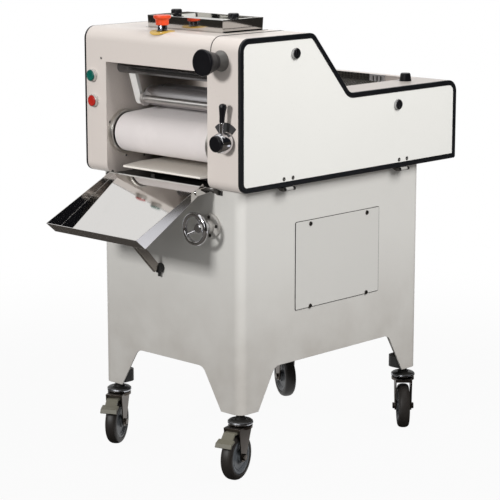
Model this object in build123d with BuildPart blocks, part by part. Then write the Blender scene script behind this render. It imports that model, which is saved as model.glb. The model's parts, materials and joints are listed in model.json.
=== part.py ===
from build123d import *
import os
from math import atan2, cos, hypot, pi, radians, sin, tan

# Dough moulder on a wheeled stand: sheeting rollers, belt, pressing board, covers and controls.
# Frame: millimetres, +Z up, the floor at Z = 0, the front faces -Y, X = 0 on the middle of the head.

# Head casing
head_width = 580.0
head_length = 867.0
head_top = 1146.0
deck_top = 979.0
head_bottom = 759.0
head_middle_y = 120.0
slope_top = 271.5
slope_foot = 415.5
casing_radius = 33.0
slope_radius = 30.0
foot_radius = 26.0
rear_foot_radius = 6.0
sheet = 2.5
sheet_gap = 0.2
trim_width = 14.0
trim_depth = 8.0
trim_round = 2.5
cover_thickness = 4.0
cover_inset = 2.0
seam_gap = 0.6
seam_step = 14.0

# Front opening between the side plates
left_column = 85.0
right_column = 116.0
fascia_height = 89.0
opening_lip = 15.0
plate_thickness = 12.0

# Stand
base_side_inset = 29.0
base_setback = 29.5
base_rear_inset = 119.5
base_sheet = 3.0
base_corner = 25.0
base_top_thickness = 5.0
leg_gap = 15.0
arch_height = 110.0
arch_radius = 28.0
front_leg_top = 137.0
front_leg_foot = 70.0
side_leg_top = 129.0
side_leg_foot = 66.0
shelf_height = 470.0
shelf_depth = 220.0
panel_width = 335.0
panel_height = 234.0
panel_middle_z = 537.0
panel_middle_offset = 13.5
panel_thickness = 2.0

# Casters
wheel_radius = 62.5
wheel_width = 32.0
hub_radius = 47.0
hub_width = 37.0
axle_radius = 6.0
caster_trail = 24.0
caster_inset = 28.0
caster_yaws = {"front_left": 29.0, "front_right": 16.0, "rear_left": 62.0, "rear_right": 44.0}
raceway_radius = 34.0
raceway_height = 16.0
stem_radius = 11.0
stem_collar_radius = 15.0
wheel_top_gap = 9.7
fork_thickness = 3.0
fork_gap = 41.0
fork_plate = 7.0
mount_block = 60.0
pedal_side_gap = 4.0
pedal_lip_width = 46.0
shoe_angle = 50.0
shoe_gap = 5.8
shoe_side_gap = 8.0
shoe_length = 20.0
shoe_height = 8.0
mount_block_height = 32.0

# Fits
running_gap = 0.05
clear_gap = 0.3

# Belt, drums and pressing board
front_drum_radius = 49.5
rear_drum_radius = 68.5
front_drum_y = 63.5
front_drum_z = 868.0
rear_drum_inset = 98.5
drum_end_gap = 17.0
drum_shaft_radius = 12.0
belt_thickness = 2.2
belt_edge = 2.0
flange_ring = 4.5
flange_ring_gap = 2.3
flange_depth = 15.0
flange_plate = 5.0
moulding_gap = 29.0
board_thickness = 5.0
board_left_gap = 32.0
board_right_gap = 8.0
board_front = 5.5
board_rear_inset = 185.5
board_corner_run = 77.0
board_corner_cut = 25.0
carrier_height = 9.0
carrier_setback = 30.0
carrier_rail = 28.0
post_radius = 11.0
post_length = 110.0
post_inset = 123.0
post_side_inset = 60.0
board_travel = 10.0

# Sheeting rollers
nip_y = 179.5
nip_gap = 6.0
upper_radius = 33.0
lower_radius = 27.0
upper_z = 1078.0
lower_rise = 11.0
roller_end_gap = 15.0
journal_radius = 10.0
bush_wall = 6.0
gear_teeth = 20
gear_width = 10.0
gear_addendum = 0.70
gear_dedendum = 1.45
gear_root_share = 0.27
gear_tip_share = 0.10
chain_width = 4.0
chain_height = 6.0
chain_clear = 0.5
chain_pitch = 9.42
roller_sprocket_radius = 24.0
front_sprocket_radius = 30.0
lower_travel = 2.0
upper_travel_in = 2.0
upper_travel_out = 6.0
slide_block = 44.0
slide_lip = 2.5
slide_lip_edge = 4.0
slide_arm = 60.0
slide_arm_depth = 10.0
slide_arm_height = 20.0

# Bars in the front opening
guard_bar_radius = 15.0
guard_bar_y = 55.5
guard_bar_z = 1040.0
guard_rod_radius = 9.75
guard_rod_y = 85.5
guard_rod_z = 957.0
guard_arm_width = 24.0
guard_arm_thickness = 10.0
guard_arm_round = 9.0
guard_arm_inset = 42.0
guard_arm_drop = 13.0
guard_collar_radius = 18.5
guard_collar_width = 7.0
guard_collar_gap = 3.0
tie_radius = 12.0

# Rear channel
mesh_columns = 14
mesh_rows = 20
mesh_thickness = 4.0
mesh_wire = 9.0
mesh_lift = 0.5
mesh_front = 314.0
mesh_rear_gap = 14.5
mesh_side_gap = 20.0
mesh_bar_radius = 6.0
deck_length = 55.5
deck_drop = 22.0
bracket_width = 56.0
bracket_edge = 126.0
bracket_slot = 5.0
bracket_slots = 3
bracket_sheet = 2.5

# Hopper
hopper_left_gap = 68.0
hopper_right_gap = 36.0
hopper_front = 92.0
hopper_depth = 147.0
hopper_height = 33.0
hopper_wall = 2.0
hopper_flange = 10.0
hopper_flange_sheet = 1.5
throat_depth = 30.0
throat_inset = 26.0
throat_clear = 6.0
guide_inset = 32.0
guide_thickness = 4.0
guide_gap = 4.0
guide_bar_radius = 5.0
guide_bar_y = 164.5
guide_bar_rise = 24.0
guide_boss = 18.0
guide_knob_radius = 14.5
guide_knob_height = 11.0
guide_knob_top = 46.0

# Controls
estop_edge = 313.0
estop_y = 34.0
estop_disc_radius = 34.0
estop_disc_depth = 29.0
estop_head_radius = 22.5
estop_skirt_radius = 17.0
estop_collar_radius = 12.5
estop_pedestal_radius = 15.0
estop_pedestal_depth = 14.0
estop_pedestal_top = 3.0
estop_disc_thickness = 1.2
estop_collar_top = 22.0
estop_button_low = 16.0
estop_button_top = 42.0
estop_travel = 5.0
green_edge, green_drop = 35.0, 128.0
red_edge, red_drop = 39.0, 195.0
bezel_radius = 17.0
bezel_depth = 5.0
button_radius = 12.0
button_travel = 4.0
knob_edge, knob_drop = 66.0, 57.0
knob_radius = 34.0
knob_reach = 69.0
knob_length = 46.0
knob_collar_radius = 26.5
knob_collar_depth = 21.0
knob_neck_radius = 16.0
knob_spindle_radius = 6.0
lever_edge, lever_rise = 45.0, 128.0
lever_hub_radius = 22.5
lever_reach = 46.0
lever_lean = 5.0
lever_length = 103.0
grip_length = 47.0
index_radius = 53.5
index_half_angle = 43.0
index_shift_x, index_shift_z = 6.0, 4.0
wheel_edge, wheel_drop = 131.5, 99.0
handwheel_radius = 44.0
handwheel_rim = 6.5
handwheel_reach = 60.0
handwheel_spindle_radius = 8.0
handwheel_flange_radius = 32.5
deck_knob_edge, deck_knob_inset = 81.0, 127.5
deck_knob_radius = 17.0
deck_knob_height = 22.0

# Right cover hinges and locks
hinge_radius = 5.0
hinge_pin_radius = 3.0
hinge_knuckle = 26.0
hinge_lug = 8.0
hinge_drop = 6.0
hinge_leaf = 2.7
hinge_leaf_height = 42.0
hinge_front, hinge_rear_inset = 178.5, 229.0
lock_radius = 14.0
lock_front, lock_rear_inset = 201.5, 256.5
lock_front_drop, lock_rear_drop = 48.0, 47.0

# Discharge tray
tray_left_gap = 29.0
tray_right_gap = 9.0
tray_slope = 31.0
tray_length = 250.0
tray_wall = 38.0
tray_sheet = 1.5
tray_front_lean = 13.0
tray_pivot_y = 8.5
tray_pivot_drop = 2.0
tray_pivot_rise = 7.0
tray_rear_gap = 5.0
tray_rear_wall = 15.0
tray_pin_radius = 3.5
tray_ear_radius = 7.0
tray_ear_thickness = 3.0
tray_bracket_left_edge = 9.0
tray_bracket_right_edge = 17.0
tray_bracket_thickness = 4.0
tray_bracket_radius = 5.5
prop_edge = 175.0
prop_width = 24.0
prop_thickness = 10.0
prop_lean = 47.0
prop_foot_drop = 235.0
prop_pad = 50.0
bumper_radius = 12.5
bumper_length = 14.0
lug_edge = 145.0
lug_width = 14.0
lug_depth = 4.5
lug_height = 11.0

# Drive
motor_radius = 68.0
motor_length = 210.0
motor_y = 470.0
motor_sprocket_radius = 32.0
drum_sprocket_radius = 42.0

# Worked out from the sizes above
half_width = head_width / 2
front_y = head_middle_y - head_length / 2
rear_y = front_y + head_length
cover_seat = half_width - trim_depth
opening_left = left_column - half_width
opening_right = half_width - right_column
opening_top = head_top - fascia_height
base_width = head_width - 2 * base_side_inset
base_depth = head_length - base_setback - base_rear_inset
base_front = front_y + base_setback
base_mid_y = base_front + base_depth / 2
base_rear = base_front + base_depth
fork_top = 2 * wheel_radius + wheel_top_gap + fork_plate
raceway_top = fork_top + clear_gap + raceway_height
leg_bottom = raceway_top + leg_gap
arch_top = leg_bottom + arch_height
front_arch_top_half = base_width / 2 - front_leg_top
front_arch_foot_half = base_width / 2 - front_leg_foot
side_arch_top_half = base_depth / 2 - side_leg_top
side_arch_foot_half = base_depth / 2 - side_leg_foot
deck_start = head_length - deck_length
board_left = opening_left + board_left_gap
board_right = opening_right - board_right_gap
board_length = head_length - board_rear_inset - board_front
mesh_length = deck_start - mesh_rear_gap - mesh_front
bracket_x = opening_right - bracket_edge
hopper_left = opening_left + hopper_left_gap
hopper_right = opening_right - hopper_right_gap
estop_x = half_width - estop_edge
green_x, green_z = green_edge - half_width, head_top - green_drop
red_x, red_z = red_edge - half_width, head_top - red_drop
knob_x, knob_z = half_width - knob_edge, head_top - knob_drop
lever_x, lever_z = half_width - lever_edge, head_bottom + lever_rise
wheel_x, wheel_z = half_width - wheel_edge, head_bottom - wheel_drop
deck_knob_x, deck_knob_y = half_width - deck_knob_edge, head_length - deck_knob_inset
hinge_spots = (hinge_front, head_length - hinge_rear_inset)
hinge_axis_x = half_width - 1.0
hinge_axis_z = head_bottom - hinge_drop
lock_spots = {
    "front": (lock_front, head_top - lock_front_drop),
    "rear": (head_length - lock_rear_inset, deck_top - lock_rear_drop),
}
tray_left = opening_left + tray_left_gap
tray_right = opening_right - tray_right_gap
tray_pivot_z = head_bottom - tray_pivot_drop
tray_bracket_left = opening_left - tray_bracket_left_edge
tray_bracket_right = opening_right + tray_bracket_right_edge
prop_x = opening_left + prop_edge
prop_foot_z = head_bottom - prop_foot_drop
plate_left_out = opening_left - plate_thickness
plate_right_out = opening_right + plate_thickness
drum_left = opening_left + drum_end_gap
drum_right = opening_right - drum_end_gap
belt_lower = front_drum_z - front_drum_radius - clear_gap - belt_thickness
rear_drum_y = head_length - rear_drum_inset
rear_drum_z = belt_lower + rear_drum_radius + clear_gap + belt_thickness
lower_z = front_drum_z + front_drum_radius + clear_gap + belt_thickness + lower_rise + lower_radius
board_top = belt_lower - moulding_gap
carrier_top = board_top - board_thickness
carrier_bottom = carrier_top - carrier_height
roller_left = opening_left + roller_end_gap
roller_right = opening_right - roller_end_gap
lower_spacing = 2 * lower_radius + nip_gap
upper_spacing = 2 * upper_radius + nip_gap
lower_front_y = front_y + nip_y - lower_spacing / 2
lower_rear_y = front_y + nip_y + lower_spacing / 2
upper_front_y = front_y + nip_y - upper_spacing / 2
upper_rear_y = front_y + nip_y + upper_spacing / 2
gear_start = plate_right_out + slide_lip + 2.0
chain_start = gear_start + gear_width + 2.0
second_chain_start = chain_start + chain_width + 2.0
shaft_end = second_chain_start + chain_width + 1.0
motor_z = shelf_height + motor_radius + 14.0
wheel_centre_z = wheel_radius
tray_plane = Plane(
    origin=(0, front_y + tray_pivot_y, tray_pivot_z),
    x_dir=(1, 0, 0),
    z_dir=(0, -sin(radians(tray_slope)), cos(radians(tray_slope))),
)

outline_points = [
    (front_y, head_bottom),
    (front_y, head_top),
    (front_y + slope_top, head_top),
    (front_y + slope_foot, deck_top),
    (rear_y, deck_top),
    (rear_y, head_bottom),
]
outline_radii = [foot_radius, casing_radius, slope_radius, slope_radius, casing_radius, rear_foot_radius]

os.makedirs("parts", exist_ok=True)


def save(part, name):
    """Labels a finished sub-part and writes it to its own file."""
    part.label = name
    export_step(part, f"parts/{name}.step")


def head_outline(inset=0.0, mode=Mode.ADD):
    """Adds the side view of the head, set in from its edge, to the current sketch."""
    with BuildLine() as edge:
        FilletPolyline(*outline_points, radius=outline_radii, close=True)
    with BuildSketch() as face:
        make_face(edge.edges())
        if inset:
            offset(amount=-inset, mode=Mode.REPLACE)
    add(face.sketch, mode=mode)


def x_rod(radius, x_start, x_end, y, z, mode=Mode.ADD):
    """A round bar along X in the current part."""
    with Locations(((x_start + x_end) / 2, y, z)):
        Cylinder(radius, x_end - x_start, rotation=(0, 90, 0), mode=mode)


def y_rod(radius, y_start, y_end, x, z, mode=Mode.ADD):
    """A round bar along Y in the current part."""
    with Locations((x, (y_start + y_end) / 2, z)):
        Cylinder(radius, y_end - y_start, rotation=(90, 0, 0), mode=mode)


def z_rod(radius, z_start, z_end, x, y, mode=Mode.ADD):
    """An upright round bar in the current part."""
    with Locations((x, y, (z_start + z_end) / 2)):
        Cylinder(radius, z_end - z_start, mode=mode)


def block(low, high, mode=Mode.ADD):
    """A rectangular block between two corners in the current part."""
    middle = tuple((a + b) / 2 for a, b in zip(low, high))
    size = tuple(b - a for a, b in zip(low, high))
    with Locations(middle):
        Box(*size, mode=mode)


def turned(points, plane):
    """A turned solid in the current part: (radius, height) points about the plane's local Y axis."""
    with BuildSketch(plane) as profile:
        with BuildLine():
            Polyline(*points, close=True)
        make_face()
    revolve(profile.sketch, Axis(plane.origin, plane.y_dir))


def link_face(start, end, start_radius, end_radius):
    """Adds the shape of a band pulled round two circles to the current sketch."""
    run = hypot(end[0] - start[0], end[1] - start[1])
    line = atan2(end[1] - start[1], end[0] - start[0])
    lean = atan2((run**2 - (start_radius - end_radius) ** 2) ** 0.5, start_radius - end_radius)
    corners = []
    for side in (1, -1):
        angle = line + side * lean
        ends = [(start, start_radius), (end, end_radius)]
        for (u, v), radius in ends[::side]:
            corners.append((u + radius * cos(angle), v + radius * sin(angle)))
    with BuildSketch() as face:
        with Locations(start):
            Circle(start_radius)
        with Locations(end):
            Circle(end_radius)
        with BuildLine() as sides:
            Polyline(*corners, close=True)
        make_face(sides.edges())
    return face.sketch


def wheel_points(teeth, tip, root, root_share, tip_share, y, z, phase=0.0):
    """Corner points of a straight-flanked toothed wheel: the shares are of the tooth pitch."""
    step = 2 * pi / teeth
    points = []
    for tooth in range(teeth):
        for share, radius in ((-root_share, root), (-tip_share, tip), (tip_share, tip), (root_share, root)):
            angle = (tooth + phase) * step + step * share
            points.append((y + radius * cos(angle), z + radius * sin(angle)))
    return points


def gear_points(spacing, y, z, phase):
    """Corner points of a long-toothed gear for two rollers set apart by the spacing."""
    module = spacing / gear_teeth
    tip = spacing / 2 + gear_addendum * module
    root = spacing / 2 - gear_dedendum * module
    return wheel_points(gear_teeth, tip, root, gear_root_share, gear_tip_share, y, z, phase)


def sprocket_points(radius, y, z):
    """Corner points of a sprocket whose teeth stay inside its chain."""
    teeth = round(2 * pi * radius / chain_pitch)
    return wheel_points(teeth, radius, radius - chain_height / 2, 0.36, 0.12, y, z)


def toothed_wheel(points, x_start, width):
    """A toothed wheel on an X axis in the current part."""
    with BuildSketch(Plane.YZ.offset(x_start)) as face:
        with BuildLine():
            Polyline(*points, close=True)
        make_face()
    extrude(face.sketch, amount=width)


def forward_plane(x, y, z):
    """A plane for turned pieces whose local Y axis points to the front."""
    return Plane((x, y, z), x_dir=(1, 0, 0), z_dir=(0, 0, -1))


def sideways_plane(x, y, z):
    """A plane for turned pieces whose local Y axis points to the right."""
    return Plane((x, y, z), x_dir=(0, 0, 1), z_dir=(0, 1, 0))


def upright_plane(x, y, z):
    """A plane for turned pieces whose local Y axis points up."""
    return Plane((x, y, z), x_dir=(1, 0, 0), z_dir=(0, -1, 0))


# Stand: one folded sheet box with arched sides, a top plate and a motor shelf
board_posts = [
    (x, y)
    for x in (drum_left + post_side_inset, drum_right - post_side_inset)
    for y in (front_y + board_front + post_inset, front_y + board_front + board_length - post_inset)
]
chain_slot_x = (chain_start - 5.0, chain_start + chain_width + 5.0)
chain_lean = atan2(rear_drum_z - motor_z, rear_drum_y - motor_y)
chain_slot_middle = front_y + motor_y + (head_bottom - motor_z) / tan(chain_lean)
chain_slot_half = (drum_sprocket_radius + chain_height + 14.0) / sin(chain_lean) + 10.0
chain_slot_y = (chain_slot_middle - chain_slot_half, chain_slot_middle + chain_slot_half)

with BuildPart() as base_cabinet:
    with BuildSketch(Plane.XY.offset(leg_bottom)):
        with Locations((0, base_mid_y)):
            RectangleRounded(base_width, base_depth, base_corner)
    extrude(amount=head_bottom - leg_bottom)
    with BuildSketch(Plane.XY.offset(leg_bottom)):
        with Locations((0, base_mid_y)):
            RectangleRounded(
                base_width - 2 * base_sheet,
                base_depth - 2 * base_sheet,
                base_corner - base_sheet,
            )
    extrude(amount=head_bottom - base_top_thickness - leg_bottom, mode=Mode.SUBTRACT)
    with BuildSketch(Plane.XZ.offset(-base_rear - 1.0)):
        with BuildLine():
            FilletPolyline(
                (-front_arch_foot_half, leg_bottom - 1.0),
                (-front_arch_top_half, arch_top),
                (front_arch_top_half, arch_top),
                (front_arch_foot_half, leg_bottom - 1.0),
                radius=arch_radius,
            )
            Line((front_arch_foot_half, leg_bottom - 1.0), (-front_arch_foot_half, leg_bottom - 1.0))
        make_face()
    extrude(amount=base_depth + 2.0, mode=Mode.SUBTRACT)
    with BuildSketch(Plane.YZ.offset(-base_width / 2 - 1.0)):
        with BuildLine():
            FilletPolyline(
                (base_mid_y - side_arch_foot_half, leg_bottom - 1.0),
                (base_mid_y - side_arch_top_half, arch_top),
                (base_mid_y + side_arch_top_half, arch_top),
                (base_mid_y + side_arch_foot_half, leg_bottom - 1.0),
                radius=arch_radius,
            )
            Line(
                (base_mid_y + side_arch_foot_half, leg_bottom - 1.0),
                (base_mid_y - side_arch_foot_half, leg_bottom - 1.0),
            )
        make_face()
    extrude(amount=base_width + 2.0, mode=Mode.SUBTRACT)
    block(
        (
            -base_width / 2 + base_sheet,
            front_y + motor_y - shelf_depth / 2,
            shelf_height - base_top_thickness,
        ),
        (base_width / 2 - base_sheet, front_y + motor_y + shelf_depth / 2, shelf_height),
    )
    for x, y in board_posts:
        z_rod(post_radius + running_gap, head_bottom - 20.0, head_bottom + 1.0, x, y, Mode.SUBTRACT)
    block(
        (chain_slot_x[0], chain_slot_y[0], head_bottom - 20.0),
        (chain_slot_x[1], chain_slot_y[1], head_bottom + 1.0),
        Mode.SUBTRACT,
    )
    spindle_hole = handwheel_spindle_radius + 4.0
    y_rod(spindle_hole, base_front - 1.0, base_front + 20.0, wheel_x, wheel_z, Mode.SUBTRACT)
save(base_cabinet.part, "base_cabinet")

with BuildPart() as access_panel:
    with BuildSketch(Plane.YZ.offset(base_width / 2)):
        with Locations((base_mid_y + panel_middle_offset, panel_middle_z)):
            RectangleRounded(panel_width, panel_height, 4.0)
    extrude(amount=panel_thickness)
    chamfer(access_panel.faces().sort_by(Axis.X)[-1].edges(), 0.6)
save(access_panel.part, "access_panel")

# Casters
caster_spots = {
    f"{end}_{side}": (
        sign * (base_width / 2 - caster_inset),
        base_front + caster_inset if end == "front" else base_rear - caster_inset,
    )
    for end in ("front", "rear")
    for side, sign in (("left", -1), ("right", 1))
}

with BuildPart() as caster_tops:
    for x, y in caster_spots.values():
        inner_x = base_width / 2 - base_sheet - mount_block / 2
        inner_y = base_depth / 2 - base_sheet - mount_block / 2
        with BuildSketch(Plane.XY.offset(leg_bottom)):
            block_x = inner_x if x > 0 else -inner_x
            block_y = base_mid_y + (inner_y if y > base_mid_y else -inner_y)
            with Locations((block_x, block_y)):
                RectangleRounded(mount_block, mount_block, base_corner - base_sheet)
        extrude(amount=mount_block_height)
        turned(
            [
                (0, raceway_top - raceway_height),
                (raceway_radius - 8.0, raceway_top - raceway_height),
                (raceway_radius - 2.5, raceway_top - 0.85 * raceway_height),
                (raceway_radius, raceway_top - 0.6 * raceway_height),
                (raceway_radius - 1.0, raceway_top - 0.35 * raceway_height),
                (raceway_radius - 5.0, raceway_top - 0.15 * raceway_height),
                (raceway_radius - 12.0, raceway_top),
                (stem_collar_radius, raceway_top - 1.0),
                (stem_collar_radius, raceway_top + 3.0),
                (stem_radius, raceway_top + 5.0),
                (stem_radius, leg_bottom),
                (0, leg_bottom),
            ],
            upright_plane(x, y, 0),
        )
save(caster_tops.part, "caster_tops")

cheek_out = fork_gap / 2 + fork_thickness
with BuildPart() as fork_shape:
    with BuildSketch(Plane.XY.offset(fork_top)):
        with Locations((0, 0)):
            Circle(raceway_radius - 2.0)
        with Locations((0, -caster_trail / 2)):
            Rectangle(2 * cheek_out, caster_trail + 30.0)
    extrude(amount=-fork_plate)
    with BuildSketch(Plane.YZ.offset(-cheek_out)):
        with BuildLine():
            Polyline(
                (-caster_trail - 24.0, fork_top),
                (22.0, fork_top),
                (-caster_trail + 13.0, wheel_centre_z),
                (-caster_trail - 13.0, wheel_centre_z),
                close=True,
            )
        make_face()
        with Locations((-caster_trail, wheel_centre_z)):
            Circle(13.0)
            Circle(axle_radius + running_gap, mode=Mode.SUBTRACT)
    extrude(amount=2 * cheek_out)
    with Locations((0, -caster_trail, fork_top - fork_plate - 100.0)):
        Box(fork_gap, 200.0, 200.0, mode=Mode.SUBTRACT)

with BuildPart() as axle_shape:
    x_rod(axle_radius, -cheek_out - 5.0, cheek_out + 5.0, -caster_trail, wheel_centre_z)
    for x_start in (-cheek_out - 6.0, cheek_out):
        with BuildSketch(Plane.YZ.offset(x_start)):
            with Locations((-caster_trail, wheel_centre_z)):
                RegularPolygon(9.0, 6)
        extrude(amount=6.0)

wheel_plane = sideways_plane(0, -caster_trail, wheel_centre_z)
with BuildPart() as hub_shape:
    turned(
        [
            (axle_radius + running_gap, -hub_width / 2),
            (15.0, -hub_width / 2),
            (17.0, -hub_width / 2 + 6.0),
            (34.0, -hub_width / 2 + 8.0),
            (37.0, -wheel_width / 2 + 1.0),
            (hub_radius, -wheel_width / 2 + 1.0),
            (hub_radius, wheel_width / 2 - 1.0),
            (37.0, wheel_width / 2 - 1.0),
            (34.0, hub_width / 2 - 8.0),
            (17.0, hub_width / 2 - 6.0),
            (15.0, hub_width / 2),
            (axle_radius + running_gap, hub_width / 2),
        ],
        wheel_plane,
    )
with BuildPart() as tyre_shape:
    turned(
        [
            (hub_radius, -wheel_width / 2),
            (wheel_radius - 7.0, -wheel_width / 2),
            (wheel_radius - 2.0, -wheel_width / 2 + 4.0),
            (wheel_radius, -wheel_width / 2 + 10.0),
            (wheel_radius, wheel_width / 2 - 10.0),
            (wheel_radius - 2.0, wheel_width / 2 - 4.0),
            (wheel_radius - 7.0, wheel_width / 2),
            (hub_radius, wheel_width / 2),
        ],
        wheel_plane,
    )

pedal_pivot_y = -caster_trail - 14.0
pedal_pivot_z = fork_top - fork_plate - 5.0
with BuildPart() as pedal_shape:
    with BuildSketch(Plane.YZ.offset(-fork_gap / 2 + pedal_side_gap)):
        with BuildLine():
            Polyline(
                (pedal_pivot_y + 6.0, pedal_pivot_z + 3.0),
                (pedal_pivot_y - 22.0, pedal_pivot_z + 4.0),
                (pedal_pivot_y - 40.0, pedal_pivot_z - 14.0),
                (pedal_pivot_y - 37.0, pedal_pivot_z - 18.0),
                (pedal_pivot_y - 20.0, pedal_pivot_z - 1.0),
                (pedal_pivot_y + 6.0, pedal_pivot_z - 3.0),
                close=True,
            )
        make_face()
    extrude(amount=fork_gap - 2 * pedal_side_gap)
    with BuildSketch(Plane.YZ.offset(-pedal_lip_width / 2)):
        with BuildLine():
            Polyline(
                (pedal_pivot_y - 36.0, pedal_pivot_z - 10.0),
                (pedal_pivot_y - 54.0, pedal_pivot_z - 17.0),
                (pedal_pivot_y - 59.0, pedal_pivot_z - 27.0),
                (pedal_pivot_y - 55.0, pedal_pivot_z - 29.0),
                (pedal_pivot_y - 50.0, pedal_pivot_z - 21.0),
                (pedal_pivot_y - 35.0, pedal_pivot_z - 15.5),
                close=True,
            )
        make_face()
    extrude(amount=pedal_lip_width)
    shoe_plane = Plane(
        (0, -caster_trail, wheel_centre_z),
        x_dir=(1, 0, 0),
        z_dir=(0, -cos(radians(shoe_angle)), sin(radians(shoe_angle))),
    )
    with BuildSketch(shoe_plane.offset(wheel_radius + shoe_gap)):
        RectangleRounded(fork_gap - 2 * shoe_side_gap, shoe_length, 2.0)
    extrude(amount=shoe_height)
    x_rod(3.0, -fork_gap / 2 + clear_gap, fork_gap / 2 - clear_gap, pedal_pivot_y, pedal_pivot_z)

for spot, (x, y) in caster_spots.items():
    place = Location((x, y, 0), (0, 0, caster_yaws[spot]))
    with BuildPart() as caster_fork:
        with Locations(place):
            add(fork_shape.part)
            add(axle_shape.part)
    save(caster_fork.part, f"caster_fork_{spot}")
    with BuildPart() as caster_wheel:
        with Locations(place):
            add(hub_shape.part)
            add(tyre_shape.part)
    save(caster_wheel.part, f"caster_wheel_{spot}")
    if spot.startswith("front"):
        with BuildPart() as brake_pedal:
            with Locations(place):
                add(pedal_shape.part)
        save(brake_pedal.part, f"brake_pedal_{spot}")

# Side plates with drum and roller seats and windows for the sliding bearing blocks
front_drum_at = (front_y + front_drum_y, front_drum_z)
rear_drum_at = (front_y + rear_drum_y, rear_drum_z)
lower_front_at = (lower_front_y, lower_z)
lower_rear_at = (lower_rear_y, lower_z)
upper_front_at = (upper_front_y, upper_z)
upper_rear_at = (upper_rear_y, upper_z)
bush_radius = journal_radius + bush_wall
window_height = slide_block + 2 * clear_gap
lower_window = slide_block + 2 * lower_travel + 2 * clear_gap
upper_window = slide_block + upper_travel_in + upper_travel_out + 2 * clear_gap
upper_window_shift = (upper_travel_out - upper_travel_in) / 2


def plate_seats():
    """Cuts the drum and roller seats of a side plate from the current sketch."""
    with Locations(front_drum_at, rear_drum_at):
        Circle(drum_shaft_radius + 4.0, mode=Mode.SUBTRACT)
    with Locations(lower_front_at, upper_front_at):
        Circle(bush_radius, mode=Mode.SUBTRACT)
    with Locations(lower_rear_at):
        Rectangle(lower_window, window_height, mode=Mode.SUBTRACT)
    with Locations((upper_rear_y + upper_window_shift, upper_z)):
        Rectangle(upper_window, window_height, mode=Mode.SUBTRACT)


with BuildPart() as left_side_plate:
    with BuildSketch(Plane.YZ.offset(plate_left_out)):
        head_outline(sheet + sheet_gap)
        plate_seats()
    extrude(amount=plate_thickness)
save(left_side_plate.part, "left_side_plate")

with BuildPart() as right_side_plate:
    with BuildSketch(Plane.YZ.offset(opening_right)):
        head_outline(sheet + sheet_gap)
        plate_seats()
    extrude(amount=plate_thickness)
save(right_side_plate.part, "right_side_plate")

# Bearing flanges round the drum ends and bushes of the fixed rollers
with BuildPart() as bearing_flanges:
    for (y, z), drum_radius in ((front_drum_at, front_drum_radius), (rear_drum_at, rear_drum_radius)):
        ring_inner = drum_radius + clear_gap + belt_thickness + flange_ring_gap
        ring_outer = ring_inner + flange_ring
        for side, x in ((1, opening_left), (-1, opening_right)):
            turned(
                [
                    (drum_shaft_radius + running_gap, 0),
                    (ring_outer, 0),
                    (ring_outer, side * (flange_depth - 1.5)),
                    (ring_outer - 1.5, side * flange_depth),
                    (ring_inner, side * flange_depth),
                    (ring_inner, side * flange_plate),
                    (drum_shaft_radius + running_gap, side * flange_plate),
                ],
                sideways_plane(x, y, z),
            )
    for y, z in (lower_front_at, upper_front_at):
        for side, x in ((1, opening_left), (-1, opening_right)):
            turned(
                [
                    (journal_radius + running_gap, -side * plate_thickness),
                    (bush_radius - running_gap, -side * plate_thickness),
                    (bush_radius - running_gap, 0),
                    (bush_radius + 4.0, 0),
                    (bush_radius + 4.0, side * 3.0),
                    (journal_radius + running_gap, side * 3.0),
                ],
                sideways_plane(x, y, z),
            )
save(bearing_flanges.part, "bearing_flanges")


# Belt drums: tubes on pierced webs, the front one with a sprocket that drives the rollers
def drum(at, radius, sprocket_radius):
    """A hollow belt drum with its shaft and sprocket in the current part."""
    y, z = at
    wall = 5.0
    web = 8.0
    web_inset = 14.0
    turned(
        [
            (0, plate_left_out - 4.0),
            (drum_shaft_radius, plate_left_out - 4.0),
            (drum_shaft_radius, drum_left + web_inset),
            (radius - wall, drum_left + web_inset),
            (radius - wall, drum_left),
            (radius, drum_left),
            (radius, drum_right),
            (radius - wall, drum_right),
            (radius - wall, drum_right - web_inset),
            (drum_shaft_radius, drum_right - web_inset),
            (drum_shaft_radius, shaft_end),
            (0, shaft_end),
        ],
        sideways_plane(0, y, z),
    )
    with BuildSketch(Plane.YZ.offset(drum_left + web_inset + web)) as hollow:
        with Locations(at):
            Circle(radius - wall)
            Circle(drum_shaft_radius, mode=Mode.SUBTRACT)
    extrude(hollow.sketch, amount=drum_right - drum_left - 2 * web_inset - 2 * web, mode=Mode.SUBTRACT)
    with BuildSketch(Plane.YZ.offset(drum_left)) as windows:
        with Locations(at):
            with PolarLocations((radius - wall + drum_shaft_radius) / 2, 4):
                Circle((radius - wall - drum_shaft_radius) / 3)
    extrude(windows.sketch, amount=drum_right - drum_left, mode=Mode.SUBTRACT)
    toothed_wheel(sprocket_points(sprocket_radius, y, z), chain_start, chain_width)


with BuildPart() as front_drum:
    drum(front_drum_at, front_drum_radius, front_sprocket_radius)
save(front_drum.part, "front_drum")

with BuildPart() as rear_drum:
    drum(rear_drum_at, rear_drum_radius, drum_sprocket_radius)
save(rear_drum.part, "rear_drum")

with BuildPart() as belt:
    with BuildSketch(Plane.YZ.offset(drum_left + belt_edge)):
        add(
            link_face(
                front_drum_at,
                rear_drum_at,
                front_drum_radius + clear_gap + belt_thickness,
                rear_drum_radius + clear_gap + belt_thickness,
            )
        )
        add(
            link_face(
                front_drum_at,
                rear_drum_at,
                front_drum_radius + clear_gap,
                rear_drum_radius + clear_gap,
            ),
            mode=Mode.SUBTRACT,
        )
    extrude(amount=drum_right - drum_left - 2 * belt_edge)
save(belt.part, "belt")

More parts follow.
